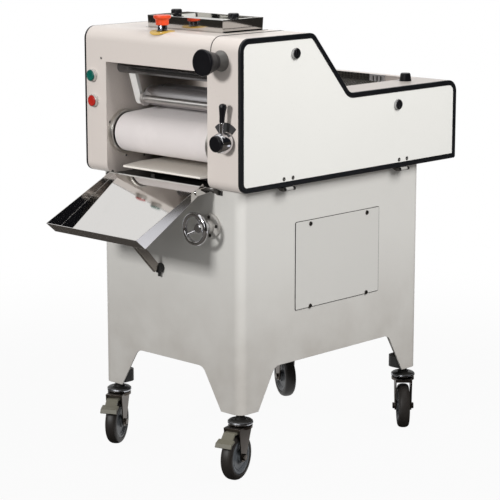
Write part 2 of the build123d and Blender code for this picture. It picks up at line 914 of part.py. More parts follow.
# Upper run of the belt: where it leaves the front drum and which way it leans
drum_run = hypot(rear_drum_at[0] - front_drum_at[0], rear_drum_at[1] - front_drum_at[1])
drum_line = atan2(rear_drum_at[1] - front_drum_at[1], rear_drum_at[0] - front_drum_at[0])
belt_outer = clear_gap + belt_thickness
run_slope = drum_line + atan2(
    rear_drum_radius - front_drum_radius,
    (drum_run**2 - (rear_drum_radius - front_drum_radius) ** 2) ** 0.5,
)
run_start = (
    front_drum_at[0] - (front_drum_radius + belt_outer) * sin(run_slope),
    front_drum_at[1] + (front_drum_radius + belt_outer) * cos(run_slope),
)
mesh_left = opening_left + mesh_side_gap
mesh_right = opening_right - mesh_side_gap
mesh_reach = (front_y + mesh_front - run_start[0]) / cos(run_slope)
mesh_plane = Plane(
    origin=(
        (mesh_left + mesh_right) / 2,
        run_start[0] - mesh_lift * sin(run_slope) + (mesh_reach + mesh_length / 2) * cos(run_slope),
        run_start[1] + mesh_lift * cos(run_slope) + (mesh_reach + mesh_length / 2) * sin(run_slope),
    ),
    x_dir=(1, 0, 0),
    z_dir=(0, -sin(run_slope), cos(run_slope)),
)
mesh_width = mesh_right - mesh_left
mesh_pitch_x = (mesh_width - mesh_wire) / mesh_columns
mesh_pitch_y = (mesh_length - mesh_wire) / mesh_rows

with BuildPart() as chain_mesh:
    with BuildSketch(mesh_plane):
        Rectangle(mesh_width, mesh_length)
        with GridLocations(mesh_pitch_x, mesh_pitch_y, mesh_columns, mesh_rows):
            Rectangle(mesh_pitch_x - mesh_wire, mesh_pitch_y - mesh_wire, mode=Mode.SUBTRACT)
    extrude(amount=mesh_thickness)
save(chain_mesh.part, "chain_mesh")

# Cross bars: ties inside the belt, the mesh bar, the guard bar and the front rod with its collars
guard_left = opening_left + guard_arm_inset
guard_right = opening_right - guard_arm_inset
mesh_bar_along = mesh_reach + mesh_bar_radius
mesh_bar_up = mesh_lift + mesh_thickness + clear_gap + mesh_bar_radius
mesh_bar_at = (
    run_start[0] + mesh_bar_along * cos(run_slope) - mesh_bar_up * sin(run_slope),
    run_start[1] + mesh_bar_along * sin(run_slope) + mesh_bar_up * cos(run_slope),
)
with BuildPart() as cross_bars:
    x_rod(guard_bar_radius, opening_left, opening_right, front_y + guard_bar_y, guard_bar_z)
    x_rod(mesh_bar_radius, opening_left, opening_right, *mesh_bar_at)
    for tie_y in (0.33, 0.67):
        x_rod(
            tie_radius,
            opening_left,
            opening_right,
            front_drum_at[0] + tie_y * (rear_drum_at[0] - front_drum_at[0]),
            front_drum_z,
        )
    rod_start = guard_left + guard_arm_width / 2
    rod_end = guard_right - guard_arm_width / 2
    x_rod(guard_rod_radius, rod_start, rod_end, front_y + guard_rod_y, guard_rod_z)
    for x in (rod_start + guard_collar_gap, rod_end - guard_collar_gap - guard_collar_width):
        x_rod(guard_collar_radius, x, x + guard_collar_width, front_y + guard_rod_y, guard_rod_z)
save(cross_bars.part, "cross_bars")

arm_foot = (front_y + guard_rod_y, guard_rod_z - guard_arm_drop)
arm_run = (guard_bar_y - guard_rod_y, guard_bar_z - arm_foot[1])
arm_length = hypot(*arm_run)
with BuildPart() as guard_arms:
    for x in (guard_left, guard_right):
        with BuildSketch(Plane((x, *arm_foot), x_dir=(1, 0, 0), z_dir=(0, -arm_run[1], arm_run[0]))):
            with Locations((0, arm_length / 2)):
                RectangleRounded(guard_arm_width, arm_length, guard_arm_round)
        extrude(amount=guard_arm_thickness / 2, both=True)
        x_rod(
            guard_bar_radius + running_gap,
            x - guard_arm_width,
            x + guard_arm_width,
            front_y + guard_bar_y,
            guard_bar_z,
            Mode.SUBTRACT,
        )
save(guard_arms.part, "guard_arms")


# Sheeting rollers
def roller(at, radius, right_end, gear_phase, spacing):
    """A sheeting roller with its journals and gear in the current part."""
    y, z = at
    turned(
        [
            (0, plate_left_out - 3.0),
            (journal_radius, plate_left_out - 3.0),
            (journal_radius, roller_left),
            (radius - 1.5, roller_left),
            (radius, roller_left + 1.5),
            (radius, roller_right - 1.5),
            (radius - 1.5, roller_right),
            (journal_radius, roller_right),
            (journal_radius, right_end),
            (0, right_end),
        ],
        sideways_plane(0, y, z),
    )
    toothed_wheel(gear_points(spacing, y, z, gear_phase), gear_start, gear_width)


with BuildPart() as lower_front_roller:
    roller(lower_front_at, lower_radius, shaft_end, 0.0, lower_spacing)
    toothed_wheel(sprocket_points(roller_sprocket_radius, *lower_front_at), chain_start, chain_width)
    toothed_wheel(sprocket_points(roller_sprocket_radius, *lower_front_at), second_chain_start, chain_width)
save(lower_front_roller.part, "lower_front_roller")

with BuildPart() as lower_rear_roller:
    roller(lower_rear_at, lower_radius, gear_start + gear_width, 0.5, lower_spacing)
save(lower_rear_roller.part, "lower_rear_roller")

with BuildPart() as upper_front_roller:
    roller(upper_front_at, upper_radius, shaft_end, 0.0, upper_spacing)
    toothed_wheel(sprocket_points(roller_sprocket_radius, *upper_front_at), second_chain_start, chain_width)
save(upper_front_roller.part, "upper_front_roller")

with BuildPart() as upper_rear_roller:
    roller(upper_rear_at, upper_radius, gear_start + gear_width, 0.5, upper_spacing)
save(upper_rear_roller.part, "upper_rear_roller")


# Bearing blocks that slide in the windows of the side plates
def slide_blocks(at):
    """A left and a right bearing block with their lips in the current part."""
    y, z = at
    lip = slide_block + 2 * clear_gap + 2 * slide_lip_edge
    for start, lip_start in (
        (plate_left_out, plate_left_out - clear_gap),
        (opening_right, plate_right_out + clear_gap),
    ):
        outward = -1 if start < 0 else 1
        with BuildSketch(Plane.YZ.offset(start)) as body:
            with Locations(at):
                Rectangle(slide_block, slide_block)
                Circle(journal_radius + running_gap, mode=Mode.SUBTRACT)
        extrude(body.sketch, amount=plate_thickness)
        with BuildSketch(Plane.YZ.offset(lip_start)) as edge:
            with Locations(at):
                Rectangle(slide_block, lip)
                Circle(journal_radius + running_gap, mode=Mode.SUBTRACT)
        extrude(edge.sketch, amount=outward * slide_lip)
        with BuildSketch(Plane.YZ.offset(lip_start)) as neck:
            with Locations(at):
                Rectangle(slide_block, slide_block)
                Circle(journal_radius + running_gap, mode=Mode.SUBTRACT)
        extrude(neck.sketch, amount=-outward * clear_gap)


with BuildPart() as lower_bearing_blocks:
    slide_blocks(lower_rear_at)
save(lower_bearing_blocks.part, "lower_bearing_blocks")

arm_lip = plate_right_out + clear_gap
with BuildPart() as upper_bearing_blocks:
    slide_blocks(upper_rear_at)
    block(
        (arm_lip, upper_rear_y + slide_block / 2, upper_z - slide_arm_height / 2),
        (arm_lip + slide_lip, upper_rear_y + slide_arm, knob_z + slide_arm_height / 2),
    )
    block(
        (arm_lip, upper_rear_y + slide_arm - slide_arm_depth, knob_z - slide_arm_height / 2),
        (knob_x + slide_arm_height / 2, upper_rear_y + slide_arm, knob_z + slide_arm_height / 2),
    )
    y_rod(
        knob_spindle_radius + clear_gap,
        upper_rear_y + slide_arm - slide_arm_depth - 1.0,
        upper_rear_y + slide_arm + 1.0,
        knob_x,
        knob_z,
        Mode.SUBTRACT,
    )
save(upper_bearing_blocks.part, "upper_bearing_blocks")

# Drive: geared motor on the shelf, its sprocket and three chains
motor_at = (front_y + motor_y, motor_z)
with BuildPart() as drive_motor:
    turned(
        [
            (0, -150.0),
            (motor_radius - 12.0, -150.0),
            (motor_radius - 2.0, -140.0),
            (motor_radius - 2.0, -110.0),
            (motor_radius, -108.0),
            (motor_radius, -150.0 + motor_length),
            (motor_radius - 14.0, -140.0 + motor_length),
            (0, -140.0 + motor_length),
        ],
        sideways_plane(0, *motor_at),
    )
    with BuildSketch(Plane.YZ.offset(-140.0 + motor_length)):
        with Locations(motor_at):
            RectangleRounded(2 * motor_radius - 8.0, 2 * motor_radius - 8.0, 18.0)
    extrude(amount=84.0)
    for x in (-110.0, 20.0):
        block(
            (x, motor_at[0] - motor_radius + 8.0, shelf_height),
            (x + 40.0, motor_at[0] + motor_radius - 8.0, motor_z - motor_radius * 0.6),
        )
    x_rod(drum_shaft_radius, -60.0 + motor_length, chain_start - 3.0, *motor_at)
    x_rod(drum_shaft_radius + running_gap, chain_start - 12.0, chain_start, *motor_at, Mode.SUBTRACT)
save(drive_motor.part, "drive_motor")

with BuildPart() as motor_sprocket:
    x_rod(drum_shaft_radius, chain_start - 12.0 + clear_gap, chain_start + chain_width + 3.0, *motor_at)
    toothed_wheel(sprocket_points(motor_sprocket_radius, *motor_at), chain_start, chain_width)
save(motor_sprocket.part, "motor_sprocket")

chain_loops = (
    (motor_at, rear_drum_at, motor_sprocket_radius, drum_sprocket_radius, chain_start),
    (front_drum_at, lower_front_at, front_sprocket_radius, roller_sprocket_radius, chain_start),
    (lower_front_at, upper_front_at, roller_sprocket_radius, roller_sprocket_radius, second_chain_start),
)
with BuildPart() as drive_chain:
    for start, end, start_radius, end_radius, x in chain_loops:
        inner = chain_clear
        outer = chain_clear + chain_height
        with BuildSketch(Plane.YZ.offset(x)):
            add(link_face(start, end, start_radius + outer, end_radius + outer))
            add(link_face(start, end, start_radius + inner, end_radius + inner), mode=Mode.SUBTRACT)
        extrude(amount=chain_width)
save(drive_chain.part, "drive_chain")

# Casing: left housing with fascia and top in one shell, right housing, rear deck
hopper_y = (front_y + hopper_front, front_y + hopper_front + hopper_depth)
fascia_end = opening_right + seam_step - seam_gap
with BuildPart() as head_shell:
    with BuildSketch(Plane.YZ.offset(-cover_seat)):
        head_outline()
        head_outline(sheet, mode=Mode.SUBTRACT)
    extrude(amount=opening_left + cover_seat)
    with BuildSketch(Plane.YZ.offset(opening_left)):
        head_outline()
        head_outline(sheet, mode=Mode.SUBTRACT)
        with Locations(((front_y + rear_y) / 2, (opening_top + head_bottom) / 2)):
            Rectangle(head_length + 2.0, opening_top - head_bottom + 0.001, mode=Mode.SUBTRACT)
    extrude(amount=fascia_end - opening_left)
    block((opening_left, front_y, opening_top), (opening_right, front_y + opening_lip, opening_top + sheet))
    block(
        (hopper_left - 0.5, hopper_y[0] - 0.5, head_top - 20.0),
        (hopper_right + 0.5, hopper_y[1] + 0.5, head_top + 1.0),
        Mode.SUBTRACT,
    )
    estop_hole = estop_pedestal_radius + clear_gap
    z_rod(estop_hole, head_top - 20.0, head_top + 1.0, estop_x, front_y + estop_y, Mode.SUBTRACT)
    for x, z in ((green_x, green_z), (red_x, red_z)):
        y_rod(button_radius / 2 + clear_gap, front_y - 1.0, front_y + 10.0, x, z, Mode.SUBTRACT)
save(head_shell.part, "head_shell")

with BuildPart() as right_housing:
    with BuildSketch(Plane.YZ.offset(opening_right)):
        head_outline()
        head_outline(sheet, mode=Mode.SUBTRACT)
    extrude(amount=cover_seat - opening_right)
    block(
        (opening_right - 1.0, front_y - 1.0, opening_top),
        (opening_right + seam_step, front_y + slope_foot, head_top + 1.0),
        Mode.SUBTRACT,
    )
    y_rod(knob_spindle_radius + 4.0, front_y - 1.0, front_y + 10.0, knob_x, knob_z, Mode.SUBTRACT)
    y_rod(handwheel_spindle_radius + 4.0, front_y - 1.0, front_y + 10.0, lever_x, lever_z, Mode.SUBTRACT)
    z_rod(5.0 + clear_gap, deck_top - 10.0, deck_top + 1.0, deck_knob_x, front_y + deck_knob_y, Mode.SUBTRACT)
    block(
        (chain_slot_x[0], chain_slot_y[0], head_bottom - 1.0),
        (chain_slot_x[1], chain_slot_y[1], head_bottom + sheet + 1.0),
        Mode.SUBTRACT,
    )
    for spot in hinge_spots:
        block(
            (cover_seat - 9.0, front_y + spot - hinge_knuckle / 2 - 2.0, head_bottom - 1.0),
            (cover_seat + 1.0, front_y + spot + hinge_knuckle / 2 + 2.0, head_bottom + sheet + 1.0),
            Mode.SUBTRACT,
        )
save(right_housing.part, "right_housing")

with BuildPart() as rear_deck:
    with BuildSketch(Plane.YZ.offset(opening_left + running_gap)):
        head_outline()
        head_outline(sheet, mode=Mode.SUBTRACT)
        with BuildLine():
            Polyline(
                (front_y - 1.0, head_bottom - 1.0),
                (base_rear - 10.0, head_bottom - 1.0),
                (base_rear - 10.0, head_bottom + 20.0),
                (front_y + deck_start, head_bottom + 20.0),
                (front_y + deck_start, head_top + 1.0),
                (front_y - 1.0, head_top + 1.0),
                close=True,
            )
        make_face(mode=Mode.SUBTRACT)
        with Locations((front_y + deck_start + sheet / 2, deck_top - deck_drop / 2)):
            Rectangle(sheet, deck_drop)
    extrude(amount=opening_right - opening_left - 2 * running_gap)
    with BuildSketch(Plane.XZ.offset(-front_y - deck_start)):
        with Locations((bracket_x, deck_top - deck_drop / 2)):
            Rectangle(bracket_width, deck_drop)
            with GridLocations(bracket_width / (bracket_slots + 1), 1, bracket_slots, 1):
                SlotOverall(deck_drop - 7.0, bracket_slot, rotation=90, mode=Mode.SUBTRACT)
    extrude(amount=bracket_sheet)
save(rear_deck.part, "rear_deck")


# Side covers: a plate held in a grooved edge trim
def cover_plate(x):
    """The plate of a side cover in the current part, from its inner face outwards."""
    with BuildSketch(Plane.YZ.offset(x)) as face:
        head_outline(trim_width / 3)
    extrude(face.sketch, amount=cover_thickness)


def cover_trim(x):
    """The edge trim of a side cover with its groove in the current part."""
    with BuildSketch(Plane.YZ.offset(x)) as ring:
        head_outline()
        head_outline(trim_width, mode=Mode.SUBTRACT)
    with BuildPart() as band:
        extrude(ring.sketch, amount=trim_depth)
        outer_face = band.faces().sort_by(Axis.X)[-1 if x > 0 else 0]
        fillet(outer_face.edges(), trim_round)
    add(band.part)
    with BuildSketch(Plane.YZ.offset(x + cover_inset - running_gap)) as groove:
        head_outline(trim_width / 3 - running_gap)
    extrude(groove.sketch, amount=cover_thickness + 2 * running_gap, mode=Mode.SUBTRACT)


with BuildPart() as left_cover:
    cover_plate(-cover_seat - cover_inset - cover_thickness)
save(left_cover.part, "left_cover")

with BuildPart() as left_cover_trim:
    cover_trim(-half_width)
save(left_cover_trim.part, "left_cover_trim")

lock_shank = lock_radius * 0.55
with BuildPart() as right_cover:
    cover_plate(cover_seat + cover_inset)
    for y, z in lock_spots.values():
        x_rod(lock_shank + running_gap, cover_seat - 1.0, half_width + 1.0, front_y + y, z, Mode.SUBTRACT)
    leaf_out = cover_seat - clear_gap
    for spot in hinge_spots:
        with BuildSketch(Plane.XZ.offset(-front_y - spot - hinge_knuckle / 2)):
            with BuildLine():
                Polyline(
                    (leaf_out - hinge_leaf, hinge_axis_z - hinge_radius + 1.0),
                    (hinge_axis_x, hinge_axis_z - hinge_radius + 1.0),
                    (hinge_axis_x, hinge_axis_z - 1.0),
                    (leaf_out, hinge_axis_z - 1.0),
                    (leaf_out, head_bottom + trim_width + clear_gap),
                    (cover_seat + cover_inset, head_bottom + trim_width + clear_gap),
                    (cover_seat + cover_inset, hinge_axis_z + hinge_leaf_height),
                    (leaf_out - hinge_leaf, hinge_axis_z + hinge_leaf_height),
                    close=True,
                )
            make_face()
            with Locations((hinge_axis_x, hinge_axis_z)):
                Circle(hinge_radius)
                Circle(hinge_pin_radius + running_gap, mode=Mode.SUBTRACT)
        extrude(amount=hinge_knuckle)
save(right_cover.part, "right_cover")

with BuildPart() as right_cover_trim:
    cover_trim(cover_seat)
save(right_cover_trim.part, "right_cover_trim")

lock_face = cover_seat + cover_inset + cover_thickness
for name, (y, z) in lock_spots.items():
    with BuildPart() as cover_lock:
        turned(
            [
                (0, cover_seat - 8.0),
                (lock_shank, cover_seat - 8.0),
                (lock_shank, lock_face),
                (lock_radius, lock_face),
                (lock_radius, lock_face + 6.5),
                (lock_radius - 2.0, lock_face + 8.5),
                (0, lock_face + 8.5),
            ],
            sideways_plane(0, front_y + y, z),
        )
        block(
            (lock_face + 4.0, front_y + y - 2.0, z - lock_radius),
            (lock_face + 12.0, front_y + y + 2.0, z + lock_radius),
            Mode.SUBTRACT,
        )
        block(
            (cover_seat - 8.0, front_y + y - 7.0, z - 7.0),
            (cover_seat - 4.0, front_y + y + 30.0, z + 7.0),
        )
    save(cover_lock.part, f"cover_lock_{name}")

# Hopper with sloped floor, flange and guide bar, and its two sliding guides
hopper_mid = ((hopper_left + hopper_right) / 2, (hopper_y[0] + hopper_y[1]) / 2)
hopper_size = (hopper_right - hopper_left, hopper_depth)
throat_z = upper_z + upper_radius + throat_clear
throat_mid = (hopper_mid[0], front_y + nip_y)
throat_size = (hopper_size[0] - 2 * throat_inset, throat_depth)
guide_bar_at = (front_y + guide_bar_y, head_top + guide_bar_rise)
with BuildPart() as hopper:
    with BuildSketch(Plane.XY.offset(head_top)):
        with Locations(hopper_mid):
            Rectangle(*hopper_size)
    extrude(amount=hopper_height)
    with BuildSketch(Plane.XY.offset(head_top)):
        with Locations((hopper_mid[0], hopper_mid[1] + hopper_flange / 2)):
            Rectangle(hopper_size[0] + 2 * hopper_flange, hopper_size[1] + hopper_flange)
    extrude(amount=hopper_flange_sheet)
    with BuildSketch(Plane.XY.offset(head_top)):
        with Locations(hopper_mid):
            Rectangle(*hopper_size)
    with BuildSketch(Plane.XY.offset(throat_z)):
        with Locations(throat_mid):
            Rectangle(throat_size[0] + 2 * hopper_wall, throat_size[1] + 2 * hopper_wall)
    loft()
    with BuildSketch(Plane.XY.offset(head_top)):
        with Locations(hopper_mid):
            Rectangle(hopper_size[0] - 2 * hopper_wall, hopper_size[1] - 2 * hopper_wall)
    extrude(amount=hopper_height + 1.0, mode=Mode.SUBTRACT)
    with BuildSketch(Plane.XY.offset(head_top)):
        with Locations(hopper_mid):
            Rectangle(hopper_size[0] - 2 * hopper_wall, hopper_size[1] - 2 * hopper_wall)
    with BuildSketch(Plane.XY.offset(throat_z)):
        with Locations(throat_mid):
            Rectangle(*throat_size)
    loft(mode=Mode.SUBTRACT)
    x_rod(guide_bar_radius, hopper_left + hopper_wall / 2, hopper_right - hopper_wall / 2, *guide_bar_at)
save(hopper.part, "hopper")

guide_y = (hopper_y[0] + hopper_wall + guide_gap, hopper_y[1] - hopper_wall - guide_gap)
guide_top = head_top + hopper_height - 2.0
for name, x in (("left", hopper_left + guide_inset), ("right", hopper_right - guide_inset)):
    with BuildPart() as guide:
        block(
            (x - guide_thickness / 2, guide_y[0], head_top + 3.0),
            (x + guide_thickness / 2, guide_y[1], guide_top),
        )
        block(
            (x - guide_boss / 2, guide_bar_at[0] - guide_boss / 2, guide_bar_at[1] - guide_boss / 2),
            (x + guide_boss / 2, guide_bar_at[0] + guide_boss / 2, guide_bar_at[1] + guide_boss / 2),
        )
        x_rod(guide_bar_radius + running_gap, x - 30.0, x + 30.0, *guide_bar_at, Mode.SUBTRACT)
    with BuildPart() as guide_knob:
        turned(
            [
                (0, guide_bar_at[1] + guide_boss / 2),
                (6.0, guide_bar_at[1] + guide_boss / 2),
                (6.0, head_top + guide_knob_top - guide_knob_height),
                (guide_knob_radius, head_top + guide_knob_top - guide_knob_height),
                (guide_knob_radius, head_top + guide_knob_top - 2.5),
                (guide_knob_radius - 2.5, head_top + guide_knob_top),
                (0, head_top + guide_knob_top),
            ],
            upright_plane(x, guide_bar_at[0], 0),
        )
        with BuildSketch(Plane.XY.offset(head_top + guide_knob_top - guide_knob_height)):
            with Locations((x, guide_bar_at[0])):
                with PolarLocations(guide_knob_radius + 1.5, 6):
                    Circle(4.0)
        extrude(amount=guide_knob_height, mode=Mode.SUBTRACT)
    with BuildPart() as guide_whole:
        add(guide.part)
        add(guide_knob.part)
    save(guide_whole.part, f"guide_{name}")

# Emergency stop and push buttons
estop_plane = upright_plane(estop_x, front_y + estop_y, head_top)
with BuildPart() as estop_base:
    with BuildSketch(Plane.YZ.offset(estop_x - estop_disc_radius)):
        head_outline(-estop_disc_thickness)
        head_outline(mode=Mode.SUBTRACT)
    extrude(amount=2 * estop_disc_radius)
    with BuildSketch(Plane.XY.offset(head_top - casing_radius)) as disc_face:
        with Locations((estop_x, front_y + estop_y)):
            Ellipse(estop_disc_radius, estop_disc_depth)
    extrude(disc_face.sketch, amount=2 * casing_radius, mode=Mode.INTERSECT)
    turned(
        [
            (0, -estop_pedestal_depth),
            (estop_pedestal_radius, -estop_pedestal_depth),
            (estop_pedestal_radius, estop_pedestal_top),
            (estop_collar_radius, estop_pedestal_top),
            (estop_collar_radius, estop_collar_top),
            (0, estop_collar_top),
        ],
        estop_plane,
    )
save(estop_base.part, "estop_base")

estop_cavity = estop_collar_top + estop_travel + 3.0
with BuildPart() as estop_button:
    turned(
        [
            (estop_collar_radius + clear_gap, estop_button_low),
            (estop_skirt_radius, estop_button_low),
            (estop_skirt_radius, estop_button_top - 11.0),
            (estop_head_radius, estop_button_top - 7.0),
            (estop_head_radius, estop_button_top - 3.0),
            (estop_head_radius - 4.0, estop_button_top),
            (0, estop_button_top),
            (0, estop_cavity),
            (estop_collar_radius + clear_gap, estop_cavity),
        ],
        estop_plane,
    )
save(estop_button.part, "estop_button")

with BuildPart() as button_bezels:
    for x, z in ((green_x, green_z), (red_x, red_z)):
        turned(
            [
                (button_radius + clear_gap, 0),
                (bezel_radius, 0),
                (bezel_radius, bezel_depth - 1.5),
                (bezel_radius - 1.5, bezel_depth),
                (button_radius + clear_gap, bezel_depth),
            ],
            forward_plane(x, front_y, z),
        )
save(button_bezels.part, "button_bezels")

for name, x, z in (("start_button", green_x, green_z), ("stop_button", red_x, red_z)):
    with BuildPart() as push_button:
        turned(
            [
                (0, -24.0),
                (button_radius / 2, -24.0),
                (button_radius / 2, button_travel + 1.0),
                (button_radius, button_travel + 1.0),
                (button_radius, bezel_depth + 5.5),
                (button_radius - 1.5, bezel_depth + 7.0),
                (0, bezel_depth + 7.0),
            ],
            forward_plane(x, front_y, z),
        )
    save(push_button.part, name)

# Gap knob, gap lever with its index plate, handwheel
lever_bush_radius = handwheel_spindle_radius + 4.0
with BuildPart() as control_bushes:
    turned(
        [
            (knob_spindle_radius + running_gap, -14.0),
            (knob_spindle_radius + 4.0 - running_gap, -14.0),
            (knob_spindle_radius + 4.0 - running_gap, 0),
            (knob_collar_radius, 0),
            (knob_collar_radius, 3.0),
            (knob_neck_radius + 1.0, knob_collar_depth),
            (knob_spindle_radius + running_gap, knob_collar_depth),
        ],
        forward_plane(knob_x, front_y, knob_z),
    )
    turned(
        [
            (handwheel_spindle_radius + running_gap, -sheet - 12.0),
            (lever_bush_radius + 6.0, -sheet - 12.0),
            (lever_bush_radius + 6.0, -sheet),
            (lever_bush_radius - running_gap, -sheet),
            (lever_bush_radius - running_gap, 0),
            (handwheel_spindle_radius + running_gap, 0),
        ],
        forward_plane(lever_x, front_y, lever_z),
    )
    turned(
        [
            (handwheel_spindle_radius + running_gap, -20.0),
            (handwheel_spindle_radius + 4.0 - running_gap, -20.0),
            (handwheel_spindle_radius + 4.0 - running_gap, 0),
            (handwheel_flange_radius, 0),
            (handwheel_flange_radius, 6.0),
            (handwheel_flange_radius - 2.0, 8.0),
            (17.0, 8.0),
            (16.0, 20.0),
            (handwheel_spindle_radius + running_gap, 20.0),
        ],
        forward_plane(wheel_x, base_front, wheel_z),
    )
save(control_bushes.part, "control_bushes")

knob_spindle_end = -(upper_rear_y + slide_arm + 9.0 - front_y)
with BuildPart() as gap_knob:
    turned(
        [
            (0, knob_spindle_end),
            (knob_spindle_radius, knob_spindle_end),
            (knob_spindle_radius, knob_collar_depth + clear_gap),
            (knob_neck_radius, knob_collar_depth + clear_gap),
            (knob_neck_radius, knob_reach - knob_length),
            (22.5, knob_reach - knob_length + 2.0),
            (25.0, knob_reach - knob_length + 14.0),
            (knob_radius - 1.0, knob_reach - 9.0),
            (knob_radius, knob_reach - 3.0),
            (knob_radius - 2.0, knob_reach),
            (0, knob_reach),
        ],
        forward_plane(knob_x, front_y, knob_z),
    )
save(gap_knob.part, "gap_knob")

index_thickness = 2.0
index_half = radians(index_half_angle)
index_reach = 2 * index_radius
index_edge = (index_reach * sin(index_half), index_reach * cos(index_half))
with BuildPart() as lever_index_plate:
    with BuildSketch(Plane.XZ.offset(-front_y)):
        with Locations((lever_x - index_shift_x, lever_z - index_shift_z)):
            Circle(index_radius)
            for side in (1, -1):
                Polygon(
                    (0, 0),
                    (0, -index_reach),
                    (side * index_reach, -index_reach),
                    (side * index_reach, 0),
                    (side * index_edge[0], index_edge[1]),
                    align=None,
                    mode=Mode.SUBTRACT,
                )
        with Locations((lever_x, lever_z)):
            Circle(lever_hub_radius + 4.0, mode=Mode.SUBTRACT)
    extrude(amount=index_thickness)
save(lever_index_plate.part, "lever_index_plate")

lever_stem_reach = 24.5
lever_hub_end = lever_reach - 9.5
lever_stem_radius = 5.0
grip_start = lever_length - 3.0 - grip_length
lean = radians(lever_lean)
stem_plane = Plane(
    (lever_x, front_y - lever_stem_reach, lever_z),
    x_dir=(cos(lean), 0, -sin(lean)),
    z_dir=(0, -1, 0),
)
with BuildPart() as gap_lever:
    turned(
        [
            (0, -60.0),
            (handwheel_spindle_radius, -60.0),
            (handwheel_spindle_radius, clear_gap),
            (lever_hub_radius, clear_gap),
            (lever_hub_radius, lever_hub_end - 1.5),
            (lever_hub_radius - 1.5, lever_hub_end),
            (0, lever_hub_end),
        ],
        forward_plane(lever_x, front_y, lever_z),
    )
    turned(
        [(0, 0), (lever_stem_radius, 0), (lever_stem_radius, grip_start), (0, grip_start)],
        stem_plane,
    )
save(gap_lever.part, "gap_lever")

with BuildPart() as lever_grip:
    turned(
        [
            (0, grip_start),
            (6.5, grip_start),
            (7.0, grip_start + 0.35 * grip_length),
            (10.0, grip_start + 0.85 * grip_length),
            (8.0, grip_start + 0.96 * grip_length),
            (4.0, grip_start + grip_length),
            (0, grip_start + grip_length),
        ],
        stem_plane,
    )
    turned(
        [
            (0, lever_hub_end),
            (lever_hub_radius - 2.0, lever_hub_end),
            (lever_hub_radius - 2.0, lever_reach - 2.0),
            (lever_hub_radius - 4.0, lever_reach),
            (0, lever_reach),
        ],
        forward_plane(lever_x, front_y, lever_z),
    )
save(lever_grip.part, "lever_grip")

spoke_count = 3
spoke_radius = 5.0
with BuildPart() as handwheel:
    turned(
        [
            (0, -60.0),
            (handwheel_spindle_radius, -60.0),
            (handwheel_spindle_radius, 20.0 + clear_gap),
            (14.0, 20.0 + clear_gap),
            (13.0, handwheel_reach - 9.0),
            (10.0, handwheel_reach - 6.0),
            (0, handwheel_reach - 6.0),
        ],
        forward_plane(wheel_x, base_front, wheel_z),
    )
    with BuildSketch(forward_plane(wheel_x, base_front, wheel_z)) as rim:
        with Locations((handwheel_radius - handwheel_rim, handwheel_reach)):
            Circle(handwheel_rim)
    revolve(rim.sketch, Axis((wheel_x, base_front, wheel_z), (0, -1, 0)))
    for spoke in range(spoke_count):
        turn = 2 * pi * spoke / spoke_count + pi / 2
        inner = Vector(
            wheel_x + 9.0 * cos(turn), base_front - handwheel_reach + 24.0, wheel_z + 9.0 * sin(turn)
        )
        outer = Vector(
            wheel_x + (handwheel_radius - handwheel_rim) * cos(turn),
            base_front - handwheel_reach,
            wheel_z + (handwheel_radius - handwheel_rim) * sin(turn),
        )
        with BuildSketch(Plane(inner, z_dir=outer - inner)) as spoke_face:
            Circle(spoke_radius)
        extrude(spoke_face.sketch, amount=(outer - inner).length)
save(handwheel.part, "handwheel")

# Pressing board on its carrier
board_rear = board_front + board_length
with BuildPart() as pressing_board:
    with BuildSketch(Plane.XY.offset(carrier_top)):
        with BuildLine():
            Polyline(
                (board_left + board_corner_cut, front_y + board_front),
                (board_right - board_corner_cut, front_y + board_front),
                (board_right, front_y + board_front + board_corner_run),
                (board_right, front_y + board_rear),
                (board_left, front_y + board_rear),
                (board_left, front_y + board_front + board_corner_run),
                close=True,
            )
        make_face()
    extrude(amount=board_thickness)
    fillet(pressing_board.faces().sort_by(Axis.Z)[-1].edges(), 1.5)
save(pressing_board.part, "pressing_board")

with BuildPart() as board_carrier:
    carrier_mid = ((board_left + board_right) / 2, front_y + (board_front + board_rear) / 2)
    carrier_size = (
        board_right - board_left - 2 * carrier_setback,
        board_length - 2 * carrier_setback,
    )
    with BuildSketch(Plane.XY.offset(carrier_bottom)):
        with Locations(carrier_mid):
            Rectangle(*carrier_size)
            Rectangle(
                carrier_size[0] - 2 * carrier_rail,
                carrier_size[1] - 2 * carrier_rail,
                mode=Mode.SUBTRACT,
            )
            Rectangle(carrier_rail, carrier_size[1])
        for x, y in board_posts:
            with Locations((x, y)):
                Circle(post_radius + 6.0)
            with Locations((carrier_mid[0], y)):
                Rectangle(carrier_size[0], carrier_rail)
    extrude(amount=carrier_height)
    for x, y in board_posts:
        z_rod(post_radius, carrier_bottom - post_length, carrier_bottom, x, y)
save(board_carrier.part, "board_carrier")

# Discharge tray: a sloped pan with ears on two pins, and the prop that stands on the base front
tray_mid_x = (tray_left + tray_right) / 2


def tray_side(x):
    """The plane of a tray side, with local X along the floor to the rear and local Y square to it."""
    return Plane((x, front_y + tray_pivot_y, tray_pivot_z), x_dir=tray_plane.y_dir, z_dir=(1, 0, 0))


